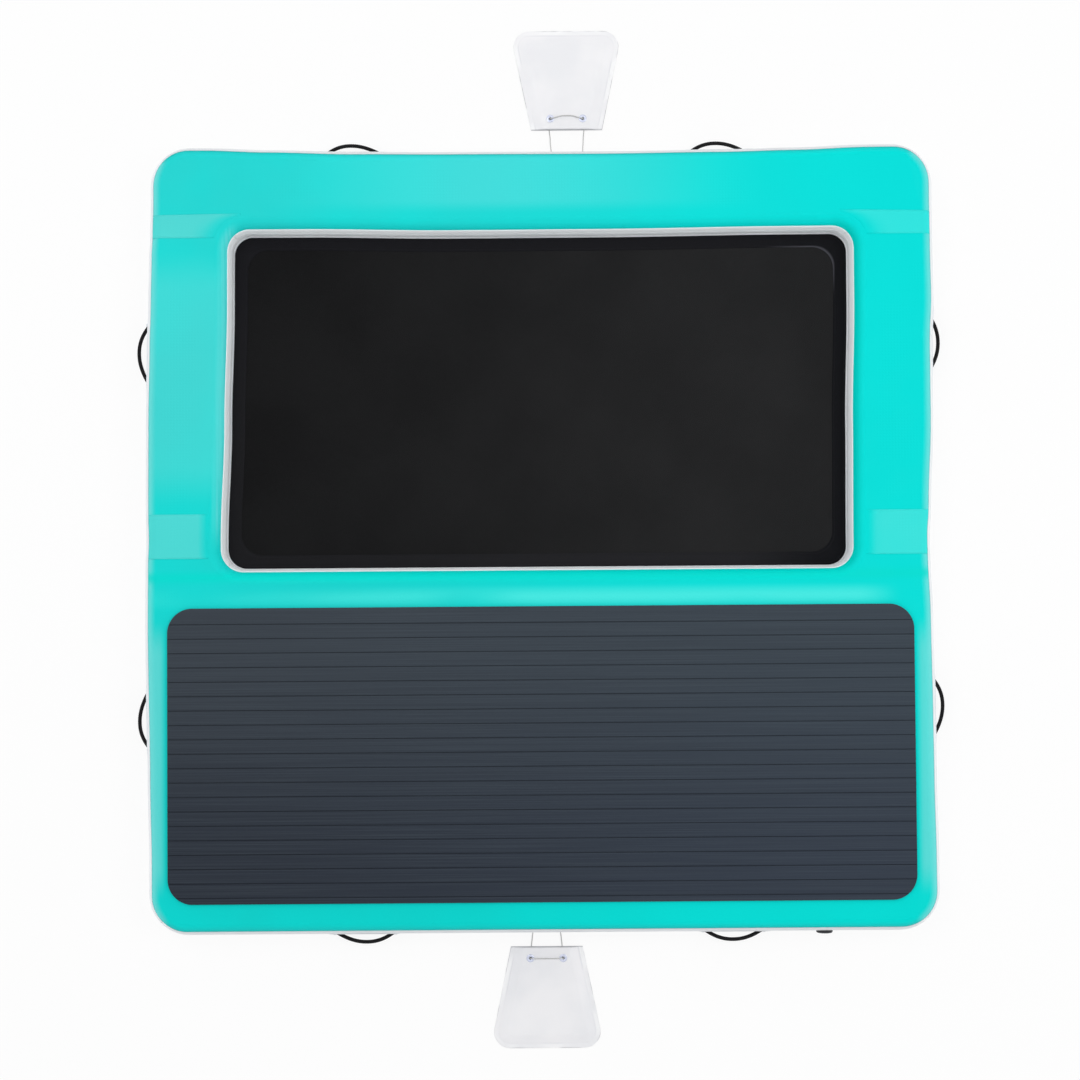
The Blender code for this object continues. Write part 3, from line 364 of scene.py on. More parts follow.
def teal_look():
    """Teal coated fabric, with painted light: painted reflections pale over the side shoulders and the rear
    beam, painted shade deeper over the others and at the opening, and painted glare across the front deck.
    """
    look = Look("teal coated fabric", 0.42, specular=0.05)
    look.base = teal_base(look, teals)
    x, y, _ = look.axes()
    from_centre = look.size(x)
    from_middle = look.size(y)
    from_wall = look.value("from_wall")
    from_opening = look.value("from_opening")
    # Painted reflection: a pale sheen over the left beam.
    look.coat((106, 222, 221), (x, -1.02, -0.90, 0.28, 0.0), (y, 0.10, 0.25), (y, 0.92, 0.78))
    # Painted light: the rear beam is paler along its middle.
    look.coat((106, 228, 232), look.near(x, -0.1, 0.85), (y, 1.02, 1.07), 0.32)
    # Painted reflection: the outer shoulders of the side beams are paler beside the pad and along the outer
    # wall.
    beside_pad = look.times((y, -0.06, -0.08), (y, -1.12, -1.00), (from_centre, 1.165, 1.190))
    look.coat((112, 222, 219), (from_middle, 0.24, 0.36, 0.0, 0.62), beside_pad)
    pale = look.times((from_wall, 0.004, 0.034, 0.85, 0.0), (from_centre, 1.155, 1.185))
    look.coat((112, 224, 221), pale)
    # Painted shade: the front and rear beams are deeper teal near the outer wall.
    not_pale = look.maths("SUBTRACT", 1.0, pale)
    look.coat((0, 192, 189), (from_wall, 0.0, 0.024, 0.75, 0.0), (from_middle, 1.150, 1.175), not_pale)
    # Painted shade: deeper teal where the skin rolls down into the opening, and over a wider strip beside it
    # on the right.
    look.coat((0, 196, 190), (from_opening, 0.002, 0.009, 0.4, 0.0))
    look.coat((0, 208, 196), (from_opening, 0.042, 0.008), (x, 0.90, 0.98, 0.0, 0.7))
    # Painted highlights: pale streaks along the shoulder on the left of the opening.
    streaks = look.rise(look.cloud(1.0, 2.0, stretch=(110.0, 1.5, 1.0)), 0.38, 0.62, 0.45, 1.0)
    at_left = look.times((x, -0.98, -0.93, 0.75, 0.0), (y, -0.04, 0.10))
    look.coat((106, 230, 229), (from_opening, 0.046, 0.012), at_left, streaks)
    # Painted light: a clean, saturated teal in a band across the front of the opening, without the painted
    # glare.
    look.coat((0, 222, 210), look.near(y, -0.112, 0.030), 0.85)
    # Painted glare: pale patches of reflected light across the front deck, between the pad and the opening.
    glare_patches = look.cloud(1.0, 2.0, stretch=(1.3, 5.0, 1.0))
    inward = look.times((x, -1.0, 0.1, 0.45, 1.0), (x, 1.13, 0.98), 0.85)
    look.coat((76, 238, 230), (glare_patches, 0.25, 0.55), look.near(y, -0.178, 0.042), inward)
    return teal_finish(look)


def band_look():
    """The paler strips over the seams, which run out towards the opening."""
    look = Look("pale teal seam band", 0.42, specular=0.05)
    look.base = look.mix(look.value("fade"), teal_base(look, teals), teal_base(look, pale_teals))
    return teal_finish(look)


def net_look():
    """Fine black net: threads 1.6 mm apart both ways, with the ground barely showing between them."""
    look = Look("black net weave", 0.78, specular=0.08)
    x, y, _ = look.axes()
    thread = look.most(look.wave(x, 0.0016), look.wave(y, 0.0016))
    clouds = look.rise(look.cloud(3.0, 4.0), 0.3, 0.7)
    # Painted light and shade: the net is darker at the left and lighter towards the right.
    left = look.mix(clouds, (19, 19, 20), (24, 24, 25))
    right = look.mix(clouds, (34, 34, 35), (39, 39, 40))
    shade = look.mix(look.rise(x, -1.0, 0.8), left, right)
    look.base = look.mix(look.rise(thread, 0.0, 0.35), (12, 12, 13), shade)
    look.bump(thread, 0.0005, 0.8)
    return look.finish()


def hem_look():
    """Black webbing with two rows of stitches along it, painted lighter from left to right and darker in
    painted shade along the rear and right sides, with a painted highlight along its inner edge at one corner.
    """
    look = Look("black hem webbing", 0.72, specular=0.10)
    x, y, _ = look.axes()
    across = look.value("across")
    rib = look.slanted(0.6, 0.0018)
    look.base = look.mix(rib, (18, 18, 20), (28, 28, 31))
    # Painted light and shade: lighter from left to right, then darker in painted shade along the rear and the
    # right side.
    look.coat((32, 32, 35), (x, -0.8, 0.5))
    look.coat(look.mix(rib, (14, 14, 18), (23, 23, 27)), (y, 0.20, 0.88))
    look.coat(look.mix(rib, (9, 10, 14), (15, 16, 20)), (x, 0.60, 0.93))
    # Painted highlight along the inner edge near the right rear corner.
    look.coat((66, 66, 72), (across, 0.0345, 0.0405), (x, 0.70, 0.86), (y, 0.76, 0.88))
    rows = look.most(*(look.rise(look.size(across, row), 0.0010, 0.0004) for row in (0.006, 0.036)))
    stitches = look.times(rows, (look.wave(look.value("along"), 0.0050), 0.25, 0.4))
    look.coat((30, 30, 33), stitches)
    look.bump(rib, 0.0004)
    look.bump(stitches, 0.0008, 0.8)
    return look.finish()


def pad_look():
    """Slate closed-cell foam with fine brushed streaks along the planks."""
    look = Look("slate deck foam", 0.86, specular=0.15)
    streaks = look.cloud(1.0, 3.0, 0.6, (1.6, 420.0, 1.0))
    wide = look.cloud(1.0, 2.0, 0.5, (0.8, 60.0, 1.0))
    # Painted light: the corner shades make the pad darker towards the front.
    look.base = look.corners((-1.1, 1.1), (-0.25, -1.05), slates)
    look.coat((43, 48, 55), (wide, 0.3, 0.7, 0.0, 0.14))
    look.coat((80, 90, 98), (streaks, 0.42, 0.70, 0.0, 0.22))
    # Painted shade: darker just below the top face, in the grooves and on the rounded edges.
    look.coat((18, 21, 27), (look.axes()["Z"], pad_high - 0.0010, pad_high - 0.0004, 0.38, 0.0))
    cells = look.node("TexVoronoi", {"Scale": 1400.0, "Vector": look.place()})
    look.bump(cells.outputs["Distance"], 0.0003, 0.35)
    look.bump(streaks, 0.0006)
    return look.finish()


def rope_look():
    """Black plaited rope: the plaits are in its shape, the yarns are here."""
    look = Look("black plaited rope", 0.62, specular=0.15)
    yarn = look.slanted(0.8, 0.0011)
    # Painted shade: darker in the hollows between the plaits.
    look.base = look.mix(look.rise(look.value("relief"), 0.35, 1.0), (3, 3, 4), (19, 19, 21))
    look.coat((36, 36, 39), yarn, 0.30)
    look.bump(yarn, 0.0003)
    return look.finish()


def cord_look():
    look = Look("white braided cord", 0.72)
    plait = look.most(look.slanted(0.9, 0.0016), look.slanted(-0.9, 0.0016))
    # Painted shade between the strands of the braid.
    look.base = look.mix(plait, (158, 158, 158), (222, 222, 220))
    look.bump(plait, 0.0005, 0.8)
    return look.finish()


def bag_look():
    """White coated fabric of a bag: a pale weld flange with a painted shadow line along its step, and a
    little grey along its cut edge and mouth, partly the grey scrim of the cut and partly painted contact
    shadow.
    """
    look = coated("white bag fabric", (247, 246, 248), (240, 240, 243), 0.42, 5.0)
    inner = look.value("inner")
    patchy = look.rise(look.cloud(6.0, 2.0), 0.42, 0.58, 0.1, 0.9)
    look.coat((253, 253, 254), (inner, bag_weld + 0.004, bag_weld), patchy)
    # Painted shadow line along the step just inside the weld flange.
    look.coat((232, 232, 236), look.near(inner, bag_weld + 0.0012, 0.0040), patchy)
    # The grey along the cut edge and the mouth: partly the grey scrim of the cut, partly painted contact
    # shadow.
    cut = look.times((inner, 0.0024, 0.0008), (look.cloud(11.0, 2.0), 0.45, 0.62, 0.0, 0.9))
    look.coat((186, 186, 190), look.most(cut, look.rise(look.value("from_mouth"), 0.0010, 0.0030, 0.8, 0.0)))
    return look.finish()


def wall_tape_look():
    """White coated tape with two weld lines near each edge, greyer in painted shade along the rear and front
    walls.
    """
    look = coated("white coated tape", (240, 243, 246), (233, 237, 241), 0.38)
    _, y, z = look.axes()
    from_middle = look.size(z, thickness / 2)
    weld = look.most(*(look.near(from_middle, line, 0.0010) for line in weld_lines))
    look.coat((196, 200, 205), weld, 0.35)
    look.bump(weld, -0.0006, 0.8)
    # Painted shade: greyer along the rear and front walls.
    look.coat((218, 221, 224), (look.size(y), 1.190, 1.215, 0.0, 0.85))
    return look.finish()


def metal_look(name, shade, roughness, metallic=1.0):
    look = Look(name, roughness, metallic)
    marks = look.cloud(900.0, 2.0)
    look.base = look.mix(look.rise(marks, 0.3, 0.7), shade, (*shade, 0.86))
    look.roughen(marks, roughness - 0.06, roughness + 0.08)
    look.bump(marks, 0.00005, 0.4)
    return look.finish()


def plastic_look(name, shade, other, roughness):
    look = Look(name, roughness)
    grain = look.cloud(1500.0, 2.0)
    look.base = look.mix(look.rise(look.cloud(60.0, 2.0), 0.3, 0.7), shade, other)
    look.roughen(grain, roughness - 0.05, roughness + 0.08)
    look.bump(grain, 0.00008)
    return look.finish()


# Shades at the rear left, rear right, front left and front right, and of the clouds. The corner shades are
# painted light: a painted glare pales the teal towards the left rear, and painted shade darkens the front,
# most at the front left.

teals = ((38, 213, 210), (0, 224, 219), (14, 211, 205), (0, 220, 212), (0, 230, 223))
pale_teals = ((80, 216, 212), (48, 228, 223), (66, 216, 211), (52, 226, 218), (86, 226, 221))
slates = ((58, 65, 73), (59, 68, 77), (43, 49, 59), (52, 60, 72))

looks = {
    "teal": teal_look(),
    "band": band_look(),
    "white": wall_tape_look(),
    # Painted light: the tape inside the opening is painted a brighter white than the outer tape, to make up
    # for the shade there.
    "liner": coated("bright white tape", (248, 250, 252), (243, 246, 249), 0.38).finish(),
    "bottom": coated("pale grey bottom fabric", (214, 218, 222), (206, 211, 216), 0.5).finish(),
    "net": net_look(),
    "hem": hem_look(),
    "pad": pad_look(),
    "rope": rope_look(),
    "cord": cord_look(),
    "bag": bag_look(),
    "nickel": metal_look("plated eyelet", (214, 219, 238), 0.3, 0.35),
    "steel": metal_look("spring wire", (172, 174, 180), 0.3),
    "plastic": plastic_look("charcoal valve plastic", (50, 52, 58), (42, 44, 50), 0.45),
    "rubber": plastic_look("black gasket rubber", (22, 22, 23), (28, 28, 29), 0.7),
    "yarn": plastic_look("white polyester yarn", (226, 226, 222), (214, 214, 210), 0.8),
}


# Making objects


def finished(name, bm, look, sharp):
    mesh = bpy.data.meshes.new(name)
    bm.to_mesh(mesh)
    bm.free()
    mesh.materials.append(looks[look])
    mesh.shade_smooth()
    mesh.set_sharp_from_angle(angle=math.radians(sharp))
    return linked(bpy.data.objects.new(name, mesh))


def solid(name, bm, look, sharp=40.0):
    bmesh.ops.recalc_face_normals(bm, faces=bm.faces)
    return finished(name, bm, look, sharp)


def sheet(name, bm, look, thick, sharp=60.0, way=(0.0, 0.0, 1.0), at=None, offset=-1.0, even=True):
    """A sheet whose face at a place, or else its widest one, looks a given way. Its thickness lies behind."""
    bmesh.ops.recalc_face_normals(bm, faces=bm.faces)
    bm.normal_update()
    if at:
        sample = min(bm.faces, key=lambda face: (face.calc_center_median() - at).length)
    else:
        sample = max(bm.faces, key=lambda face: face.calc_area())
    if sample.normal.dot(Vector(way)) < 0:
        bmesh.ops.reverse_faces(bm, faces=bm.faces)
    obj = finished(name, bm, look, sharp)
    modifier = obj.modifiers.new("thickness", "SOLIDIFY")
    modifier.thickness = thick
    modifier.offset = offset
    modifier.use_even_offset = even
    modifier.use_quality_normals = even
    return obj


def stand_for(obj, body, slot, *nodes):
    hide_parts(*nodes)
    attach(obj, body)
    return obj


def add_layers(bm, *names):
    return [bm.verts.layers.float.new(name) for name in names]


def corner(bm, point, layers, values):
    """A corner with a value on each layer."""
    vert = bm.verts.new(point)
    for layer, value in zip(layers, values, strict=True):
        vert[layer] = value
    return vert


def strip(bm, rows, closed=False):
    """Quads between rows of corners."""
    for first, second in zip(rows, rows[1:] + rows[:1] if closed else rows[1:]):
        for j in range(len(first) - 1):
            bm.faces.new((first[j], second[j], second[j + 1], first[j + 1]))


def tube(bm, rings):
    """Quads between closed rings of corners."""
    strip(bm, list(zip(*rings)), closed=True)


def ease(value, low=0.0, high=1.0):
    """0 up to the low value, 1 from the high one on, and smooth between."""
    share = min(1.0, max(0.0, (value - low) / (high - low)))
    return share * share * (3 - 2 * share)


def evenly(first, last, count):
    return [first + (last - first) * i / count for i in range(count + 1)]


def distances(points):
    """How far along a line each of its points is."""
    reach = [0.0]
    for a, b in zip(points, points[1:]):
        reach.append(reach[-1] + (b - a).length)
    return reach


# Outlines and walls. A station is a place on an outline and the way that its wall bulges there.


def station(shape, x, y, degrees):
    turn = math.radians(degrees)
    return (x, y, shape["facing"] * math.cos(turn), shape["facing"] * math.sin(turn))


def arc(shape, first, last, step=4.5):
    """Stations round a corner, from one bearing to another."""
    quarter = math.floor((first + last) / 180) % 4
    east = quarter in (0, 3)
    north = quarter in (0, 1)
    reach = shape["radius"]
    x = shape["x"][east] + (-reach if east else reach)
    y = shape["y"][north] + (-reach if north else reach)
    made = []
    for degrees in evenly(first, last, max(1, round(abs(last - first) / step))):
        turn = math.radians(degrees)
        made.append(station(shape, x + reach * math.cos(turn), y + reach * math.sin(turn), degrees))
    return made


def side(shape, degrees, along):
    if degrees in (0.0, 180.0):
        return station(shape, shape["x"][degrees == 0.0], along, degrees)
    return station(shape, along, shape["y"][degrees == 90.0], degrees)


def filled(stations, pitch=0.04):
    """The stations with more of them where they are far apart."""
    made = [stations[0]]
    for a, b in zip(stations, stations[1:]):
        count = max(1, math.ceil(math.hypot(b[0] - a[0], b[1] - a[1]) / pitch))
        for i in range(1, count + 1):
            made.append(tuple(p + (q - p) * i / count for p, q in zip(a, b)))
    return made


def wall_section(angle, offset=0.0):
    """(distance out, height) on the bulging wall, from its top at 0 to its foot at a half turn."""
    half = thickness / 2
    normal = Vector((half * math.sin(angle), bulge * math.cos(angle))).normalized()
    return bulge * math.sin(angle) + offset * normal.x, half * (1 + math.cos(angle)) + offset * normal.y


def between(value, table):
    """A value from a table of (place, amount), eased from each place to the next."""
    if value <= table[0][0]:
        return table[0][1]
    for (a, first), (b, second) in zip(table, table[1:]):
        if value <= b:
            return first + (second - first) * ease(value, a, b)
    return table[-1][1]


# How far each wall of the inflated hull stands off a straight line: (place along it, metres)

left_wall = ((-1.0, 0.0050), (-0.75, 0.0005), (-0.25, -0.006), (-0.07, -0.005), (0.0, -0.002), (0.1, -0.004))
left_wall += ((0.37, -0.003), (0.6, 0.001), (0.75, 0.005), (0.9, 0.008), (0.95, 0.011), (1.06, 0.0137))
right_wall = ((-1.2, 0.008), (-1.0, 0.007), (-0.75, 0.003), (-0.54, 0.0015), (-0.25, -0.002), (-0.05, -0.009))
right_wall += ((0.0, -0.010), (0.1, -0.004), (0.37, 0.006), (0.62, 0.006), (0.75, 0.012), (0.9, 0.010))
right_wall += ((1.06, 0.009),)
left_opening = ((-0.15, -0.012), (0.0, -0.0145), (0.37, -0.002), (0.75, 0.0075), (1.0, 0.009))
right_opening = ((-0.15, -0.003), (0.0, -0.0035), (0.37, -0.001), (0.75, 0.0075), (1.0, 0.008))
rear_wall = ((-1.2, 0.019), (-1.06, 0.0178), (-0.85, 0.0103), (-0.58, 0.0028), (-0.28, 0.0003))
rear_wall += ((0.19, -0.001), (0.58, 0.002), (0.8, 0.0065), (1.03, 0.0145), (1.2, 0.0153))
rear_opening = ((-0.95, 0.004), (-0.75, 0.0034), (-0.28, -0.0034), (0.19, -0.0028), (0.81, 0.0025))
rear_opening += ((0.95, 0.003),)


# Heights, and distances along a wall from a handle's middle, from where the wall is steady to where it bows

keepers_below = (0.046, 0.078)
keepers_beside = (0.16, 0.30)


def steady(degrees, along, z):
    """0 low on a wall beside a handle, where the keepers stay on their line, and 1 away from there."""
    away = min(abs(along - middle) for turn, middle, _ in handles.values() if turn == degrees)
    return 1 - (1 - ease(z, *keepers_below)) * (1 - ease(away, *keepers_beside))


def bow(off_middle, outside_from, along, z, degrees, inside, outside):
    """How far a point is pushed out: as the opening's wall near the opening, as the outer wall near that."""
    far = ease(off_middle, 1.00, outside_from)
    pushed = between(along, inside) * (1 - far) + between(along, outside) * far * steady(degrees, along, z)
    return ease(off_middle, 0.78, 0.94) * pushed


def settle(point):
    """The inflated hull is not quite straight: its walls bow out and are drawn in a little at the seams."""
    x, y, z = point
    walls = (180.0, left_opening, left_wall) if x < 0 else (0.0, right_opening, right_wall)
    across = bow(abs(x), 1.17, y, z, *walls)
    return Vector((x + across, y + bow(y, 1.16, x, z, 90.0, rear_opening, rear_wall), z))


def wall_point(place, angle, offset=0.0, low=False):
    x, y, fx, fy = place
    out, height = wall_section(angle, offset)
    return settle((x + fx * out, y + fy * out, thickness - height if low else height))


def shoulder(hand):
    """Wall angles from the flat face to the tape's edge. hand is 1 outside, -1 at the opening."""
    return evenly(0.0, tape_lip[hand], 12)


def under_tape(angle, hand):
    return -(tape_thick + 0.0003) * min(1.0, angle / tape_lip[hand])


# Swept and turned pieces


def sweep(name, points, radius, sides, look, relief=None, turn_out=0.0):
    """A tube along a line, with along and across written on it. relief gives 0 to 1 from turn and length."""
    ends = [points[0], *points, points[-1]]
    ahead = [(after - before).normalized() for before, after in zip(ends, ends[2:])]
    side_way = ahead[0].orthogonal().normalized()
    bm = bmesh.new()
    layers = add_layers(bm, "along", "across", "relief")
    rings = []
    for point, way, length in zip(points, ahead, distances(points), strict=True):
        side_way = (side_way - way * side_way.dot(way)).normalized()
        up = way.cross(side_way)
        ring = []
        for j in range(sides):
            turn = 2 * math.pi * j / sides
            rise = relief(turn, length) if relief else 1.0
            reach = radius * (1 - turn_out * (1 - rise))
            spot = point + (side_way * math.cos(turn) + up * math.sin(turn)) * reach
            ring.append(corner(bm, spot, layers, (length, radius * min(turn, 2 * math.pi - turn), rise)))
        rings.append(ring)
    tube(bm, rings)
    bm.faces.new(rings[0])
    bm.faces.new(rings[-1])
    return solid(name, bm, look, 180.0)


def turned(bm, profile, segments, matrix):
    """A turned piece about its own Z, through points of (radius, height). It starts and ends on its axis,
    where the radius is 0, or else its outline closes on itself."""
    tips = {z: bm.verts.new(matrix @ Vector((0.0, 0.0, z))) for r, z in profile if r == 0.0}
    rows = []
    for i in range(segments):
        angle = 2 * math.pi * i / segments
        row = []
        for r, z in profile:
            spot = matrix @ Vector((r * math.cos(angle), r * math.sin(angle), z))
            row.append(bm.verts.new(spot) if r else tips[z])
        rows.append(row if tips else [*row, row[0]])
    for first, second in zip(rows, rows[1:] + rows[:1]):
        for k in range(len(first) - 1):
            bm.faces.new(dict.fromkeys((first[k], second[k], second[k + 1], first[k + 1])))


def frame_on(degrees, along):
    x, y, _, _ = side(outer, degrees, along)
    return Matrix.Translation((x, y, 0.0)) @ Matrix.Rotation(math.radians(degrees - 270.0), 4, "Z")


def plait(turn, length):
    """A round plait of twelve strands, six each way, over and under."""
    lay = 0.036
    strands = 6
    wound = 2 * math.pi * strands * length / lay
    over = 0.28 * (0.5 + 0.5 * math.cos(strands * turn))
    first = (0.5 + 0.5 * math.cos(strands * turn + wound)) * (0.72 + over)
    return max(first, (0.5 + 0.5 * math.cos(strands * turn - wound)) * (1.0 - over))


# Draw cords of the ballast bags, on the frame's own routes

cord_radius = 0.00175
cord_bend = 0.0060


def cord_route(bag):
    """Half a route, (x, distance out, height) from an anchor's eye to the bag, and its mirror image."""
    high = anchor_high
    out = anchor_out
    mouth = bag["mouth"]
    on_floor = 0.00215
    in_bag = 0.00335
    on_panel = bag_high + 0.00215
    on_flange = on_panel + 0.0016
    eye_face = bag["gap"] - 0.0005
    leg = eye_face - cord_bend
    hole_x = eyelet_across + 0.0012
    hole_out = mouth + eyelet_down
    start = out + cord_bend
    run = mouth - 0.022 - start
    turns = [math.radians(degrees) for degrees in (0, 30, 60, 90)]
    bend = [(cord_bend * math.sin(turn), cord_bend * (1 - math.cos(turn))) for turn in turns]
    half = [(eye_face + 0.0095, out, high), (eye_face + 0.0055, out, high)]
    half += [(eye_face - ahead, out + aside, high - 0.25 * aside) for ahead, aside in bend]
    half += [
        (leg, start + 0.17 * run, high - 0.007),
        (leg + 0.001, start + 0.42 * run, high - 0.024),
        (leg + 0.002, start + 0.63 * run, on_floor + 0.0050),
        (leg + 0.003, start + run, on_floor + 0.0003),
        (leg + 0.005, mouth - 0.004, in_bag + 0.0003),
        (leg + 0.006, mouth + 0.015, in_bag + 0.0002),
        (hole_x - 0.0005, hole_out - cord_bend - 0.008, in_bag + 0.0001),
    ]
    half += [(hole_x, hole_out - cord_bend + ahead, in_bag + aside) for ahead, aside in bend]
    half += [(hole_x - aside, hole_out, on_flange - cord_bend + ahead) for ahead, aside in bend]
    half += [
        (hole_x - cord_bend - 0.008, hole_out + 0.20 * bag["bow"], on_flange),
        (hole_x - cord_bend - 0.018, hole_out + 0.60 * bag["bow"], on_panel + 0.0008),
        (hole_x - cord_bend - 0.030, hole_out + 0.92 * bag["bow"], on_panel + 0.0002),
    ]
    points = half + [(0.0, hole_out + bag["bow"], on_panel)] + [(-x, y, z) for x, y, z in reversed(half)]
    return [Vector((x, -y, z)) for x, y, z in points]


def smooth_route(route, count):
    """Evenly spaced points on a smooth curve through the route's own points."""
    ends = [route[0] * 2 - route[1], *route, route[-1] * 2 - route[-2]]
    dense = []
    for a, b, c, d in zip(ends, ends[1:], ends[2:], ends[3:]):
        for i in range(24):
            t = i / 24
            bent = (a * 2 - b * 5 + c * 4 - d) * t * t + (b * 3 - a - c * 3 + d) * t**3
            dense.append((b * 2 + (c - a) * t + bent) / 2)
    dense.append(route[-1])
    reach = distances(dense)
    points = []
    k = 0
    for i in range(count):
        goal = reach[-1] * i / (count - 1)
        while k < len(reach) - 2 and reach[k + 1] < goal:
            k += 1
        points.append(dense[k].lerp(dense[k + 1], (goal - reach[k]) / (reach[k + 1] - reach[k])))
    return points


def make_cord(end, bag):
    matrix = frame_on(*bag["wall"])
    points = [matrix @ point for point in smooth_route(cord_route(bag), 320)]
    cord = sweep(f"ballast_bag_{end}_lanyard", points, cord_radius, 12, "cord")
    stand_for(cord, f"bag_{end}", "cord_white", f"ballast_bag_{end}_cord")
    length = distances(points)[-1]
    tuple(points[0])
    [tuple(point) for point in points]


for bag_end, bag_sizes in bags.items():
    make_cord(bag_end, bag_sizes)


# Hull skins, seam bands and side wall tapes

band_lift = 0.0006
band_thick = 0.0004


def round_end(shape, seam, *bearings):
    """An edge from the left side's seam round two corners to the right side's."""
    first, middle, last = bearings
    corners = arc(shape, first, middle) + arc(shape, middle, last)
    return [side(shape, 180.0, seam), *corners, side(shape, 0.0, seam)]


def panel_paths(panel):
    """A panel's edges along the outer wall and along the opening."""
    if panel == "rear_beam":
        outside = round_end(outer, rear_seam_y, 180, 90, 0)
        inside = arc(opening, 135, 90) + arc(opening, 90, 45)
    elif panel == "front_deck":
        outside, inside = (round_end(shape, front_seam_y, 180, 270, 360) for shape in (outer, opening))
    else:
        degrees, bearings = (180.0, (135, 180)) if panel == "left_beam" else (0.0, (45, 0))
        inside = [*arc(opening, *bearings), side(opening, degrees, front_seam_y)]
        outside = [side(outer, degrees, seam) for seam in (rear_seam_y, front_seam_y)]
    return filled(outside), filled(inside)


def skin(name, panel, look, slot, low):
    bm = bmesh.new()
    layers = add_layers(bm, "from_wall", "from_opening")
    edges = []
    for hand, path in zip((1, -1), panel_paths(panel)):
        rows = []
        for place in path:
            row = []
            for angle in (*shoulder(hand), skin_lip[hand]):
                point = wall_point(place, angle, under_tape(angle, hand), low)
                from_tape = shoulder_length[hand] * max(0.0, 1 - angle / tape_lip[hand])
                row.append(corner(bm, point, layers, (from_tape, 1.0)[::hand]))
            rows.append(row)
        strip(bm, rows)
        edges.append([row[0] for row in rows])
    bm.faces.new(edges[0] + edges[1][::-1])
    obj = sheet(name, bm, look, skin_thick, 50.0, (0.0, 0.0, -1.0 if low else 1.0))
    obj.modifiers.new("normals", "WEIGHTED_NORMAL").keep_sharp = True
    where = "bottom" if low else "top"
    stand_for(obj, "hull", slot, f"{where}_skin_{panel}")


def corner_reach(y):
    """How far from the middle the opening's flat outline is, beside its rear corners."""
    beyond = max(0.0, y - (opening_y[1] - opening_radius))
    return opening_x - opening_radius + math.sqrt(max(0.01**2, opening_radius**2 - beyond**2))


def over_shoulder(place, hand, lift):
    """Points over a shoulder beside the skin, from the tape's edge to the flat face."""
    angles = [*shoulder(hand)[:-1], tape_lip[hand] - 0.01]
    return [wall_point(place, angle, under_tape(angle, hand) + lift) for angle in reversed(angles)]


def rear_band_lines(degrees, hand):
    """Each line over the band, the place that it runs out to, and the length of its fade."""
    for share in evenly(1.0, 0.0, 12):
        along = rear_seam_y + rear_band_width * (share - 0.5)
        line = over_shoulder(side(outer, degrees, along), 1, band_lift)
        end = settle((hand * (corner_reach(along) + 0.003), along + 0.004 * share, thickness + band_lift))
        line += [line[-1].lerp(end, part) for part in (0.2, 0.4, 0.55, 0.7, 0.85, 0.93, 1.0)]
        line[-1].z = thickness - band_thick
        yield line, end, 0.075


def front_band_lines(degrees, hand):
    turn = (360, 345) if hand == 1 else (180, 195)
    path = [side(opening, degrees, front_band_rear_y), *arc(opening, *turn, 3.0)]
    for place in filled(path, 0.012):
        line = over_shoulder(side(outer, degrees, place[1]), 1, band_lift)
        end = wall_point(place, 0.0, band_lift)
        line += [line[-1].lerp(end, part) for part in (0.3, 0.5, 0.65, 0.8, 0.9, 0.96)]
        line += reversed(over_shoulder(place, -1, -band_lift / 2))
        yield line, end, 0.034 if hand == 1 else 0.022


def band(name, degrees, band_lines):
    """A strip over a seam, a hair above the skin. It fades towards the place that it runs out to."""
    hand = 1 if degrees == 0.0 else -1
    bm = bmesh.new()
    layers = add_layers(bm, "fade")
    rows = []
    for line, end, reach in band_lines(degrees, hand):
        row = []
        for point in line:
            inward = hand * (end.x - point.x) < 0
            fade = ease((point - end).length, 0.008, 0.008 + reach) if inward else 0.0
            row.append(corner(bm, point, layers, [fade]))
        rows.append(row)
    strip(bm, rows)
    return sheet(name, bm, "band", band_thick, 50.0)


def rail(name, shape, degrees, look):
    """A length of side wall tape with half a corner at each end."""
    before = degrees if degrees > 0 else 360.0
    lip = tape_lip[shape["facing"]]
    angles = evenly(lip, math.pi - lip, 20)
    path = filled(arc(shape, before - 45, before) + arc(shape, degrees, degrees + 45))
    bm = bmesh.new()
    strip(bm, [[bm.verts.new(wall_point(place, angle)) for angle in angles] for place in path])
    middle = path[len(path) // 2]
    return sheet(name, bm, look, tape_thick, 50.0, (*middle[2:], 0.0), wall_point(middle, math.pi / 2))


def make_hull():
    for panel in ("front_deck", "rear_beam", "left_beam", "right_beam"):
        skin(f"deck_fabric_{panel}", panel, "teal", "pvc_teal", False)
        skin(f"bottom_fabric_{panel}", panel, "bottom", "pvc_bottom", True)
    for name, degrees in (("left", 180.0), ("right", 0.0)):
        for end, band_lines in (("rear", rear_band_lines), ("front", front_band_lines)):
            strap = band(f"seam_strip_{name}_{end}", degrees, band_lines)
            stand_for(strap, "hull", "pvc_teal_light", f"seam_band_{name}_{end}")
    for name, degrees in (("right", 0.0), ("rear", 90.0), ("left", 180.0), ("front", 270.0)):
        tape = rail(f"side_tape_{name}", outer, degrees, "white")
        stand_for(tape, "hull", "pvc_white", f"outer_rail_{name}")
        tape = rail(f"opening_tape_{name}", opening, degrees, "liner")
        stand_for(tape, "hull", "pvc_white", f"inner_rail_{name}")


make_hull()

# Lounge net with its hem and flange

net_edge = bulge + 0.0018
net_top = net_height + 0.0012
net_sag = 0.0125
net_crease = 0.0012
net_middle = Vector((0.0, (opening_y[0] + opening_y[1]) / 2, 0.0))
hem_width = 0.042
hem_edge = net_edge + hem_width
hem_line = {
    "x": (hem_edge - opening_x, opening_x - hem_edge),
    "y": (opening_y[0] + hem_edge, opening_y[1] - hem_edge),
    "radius": 0.066,
    "facing": -1,
}


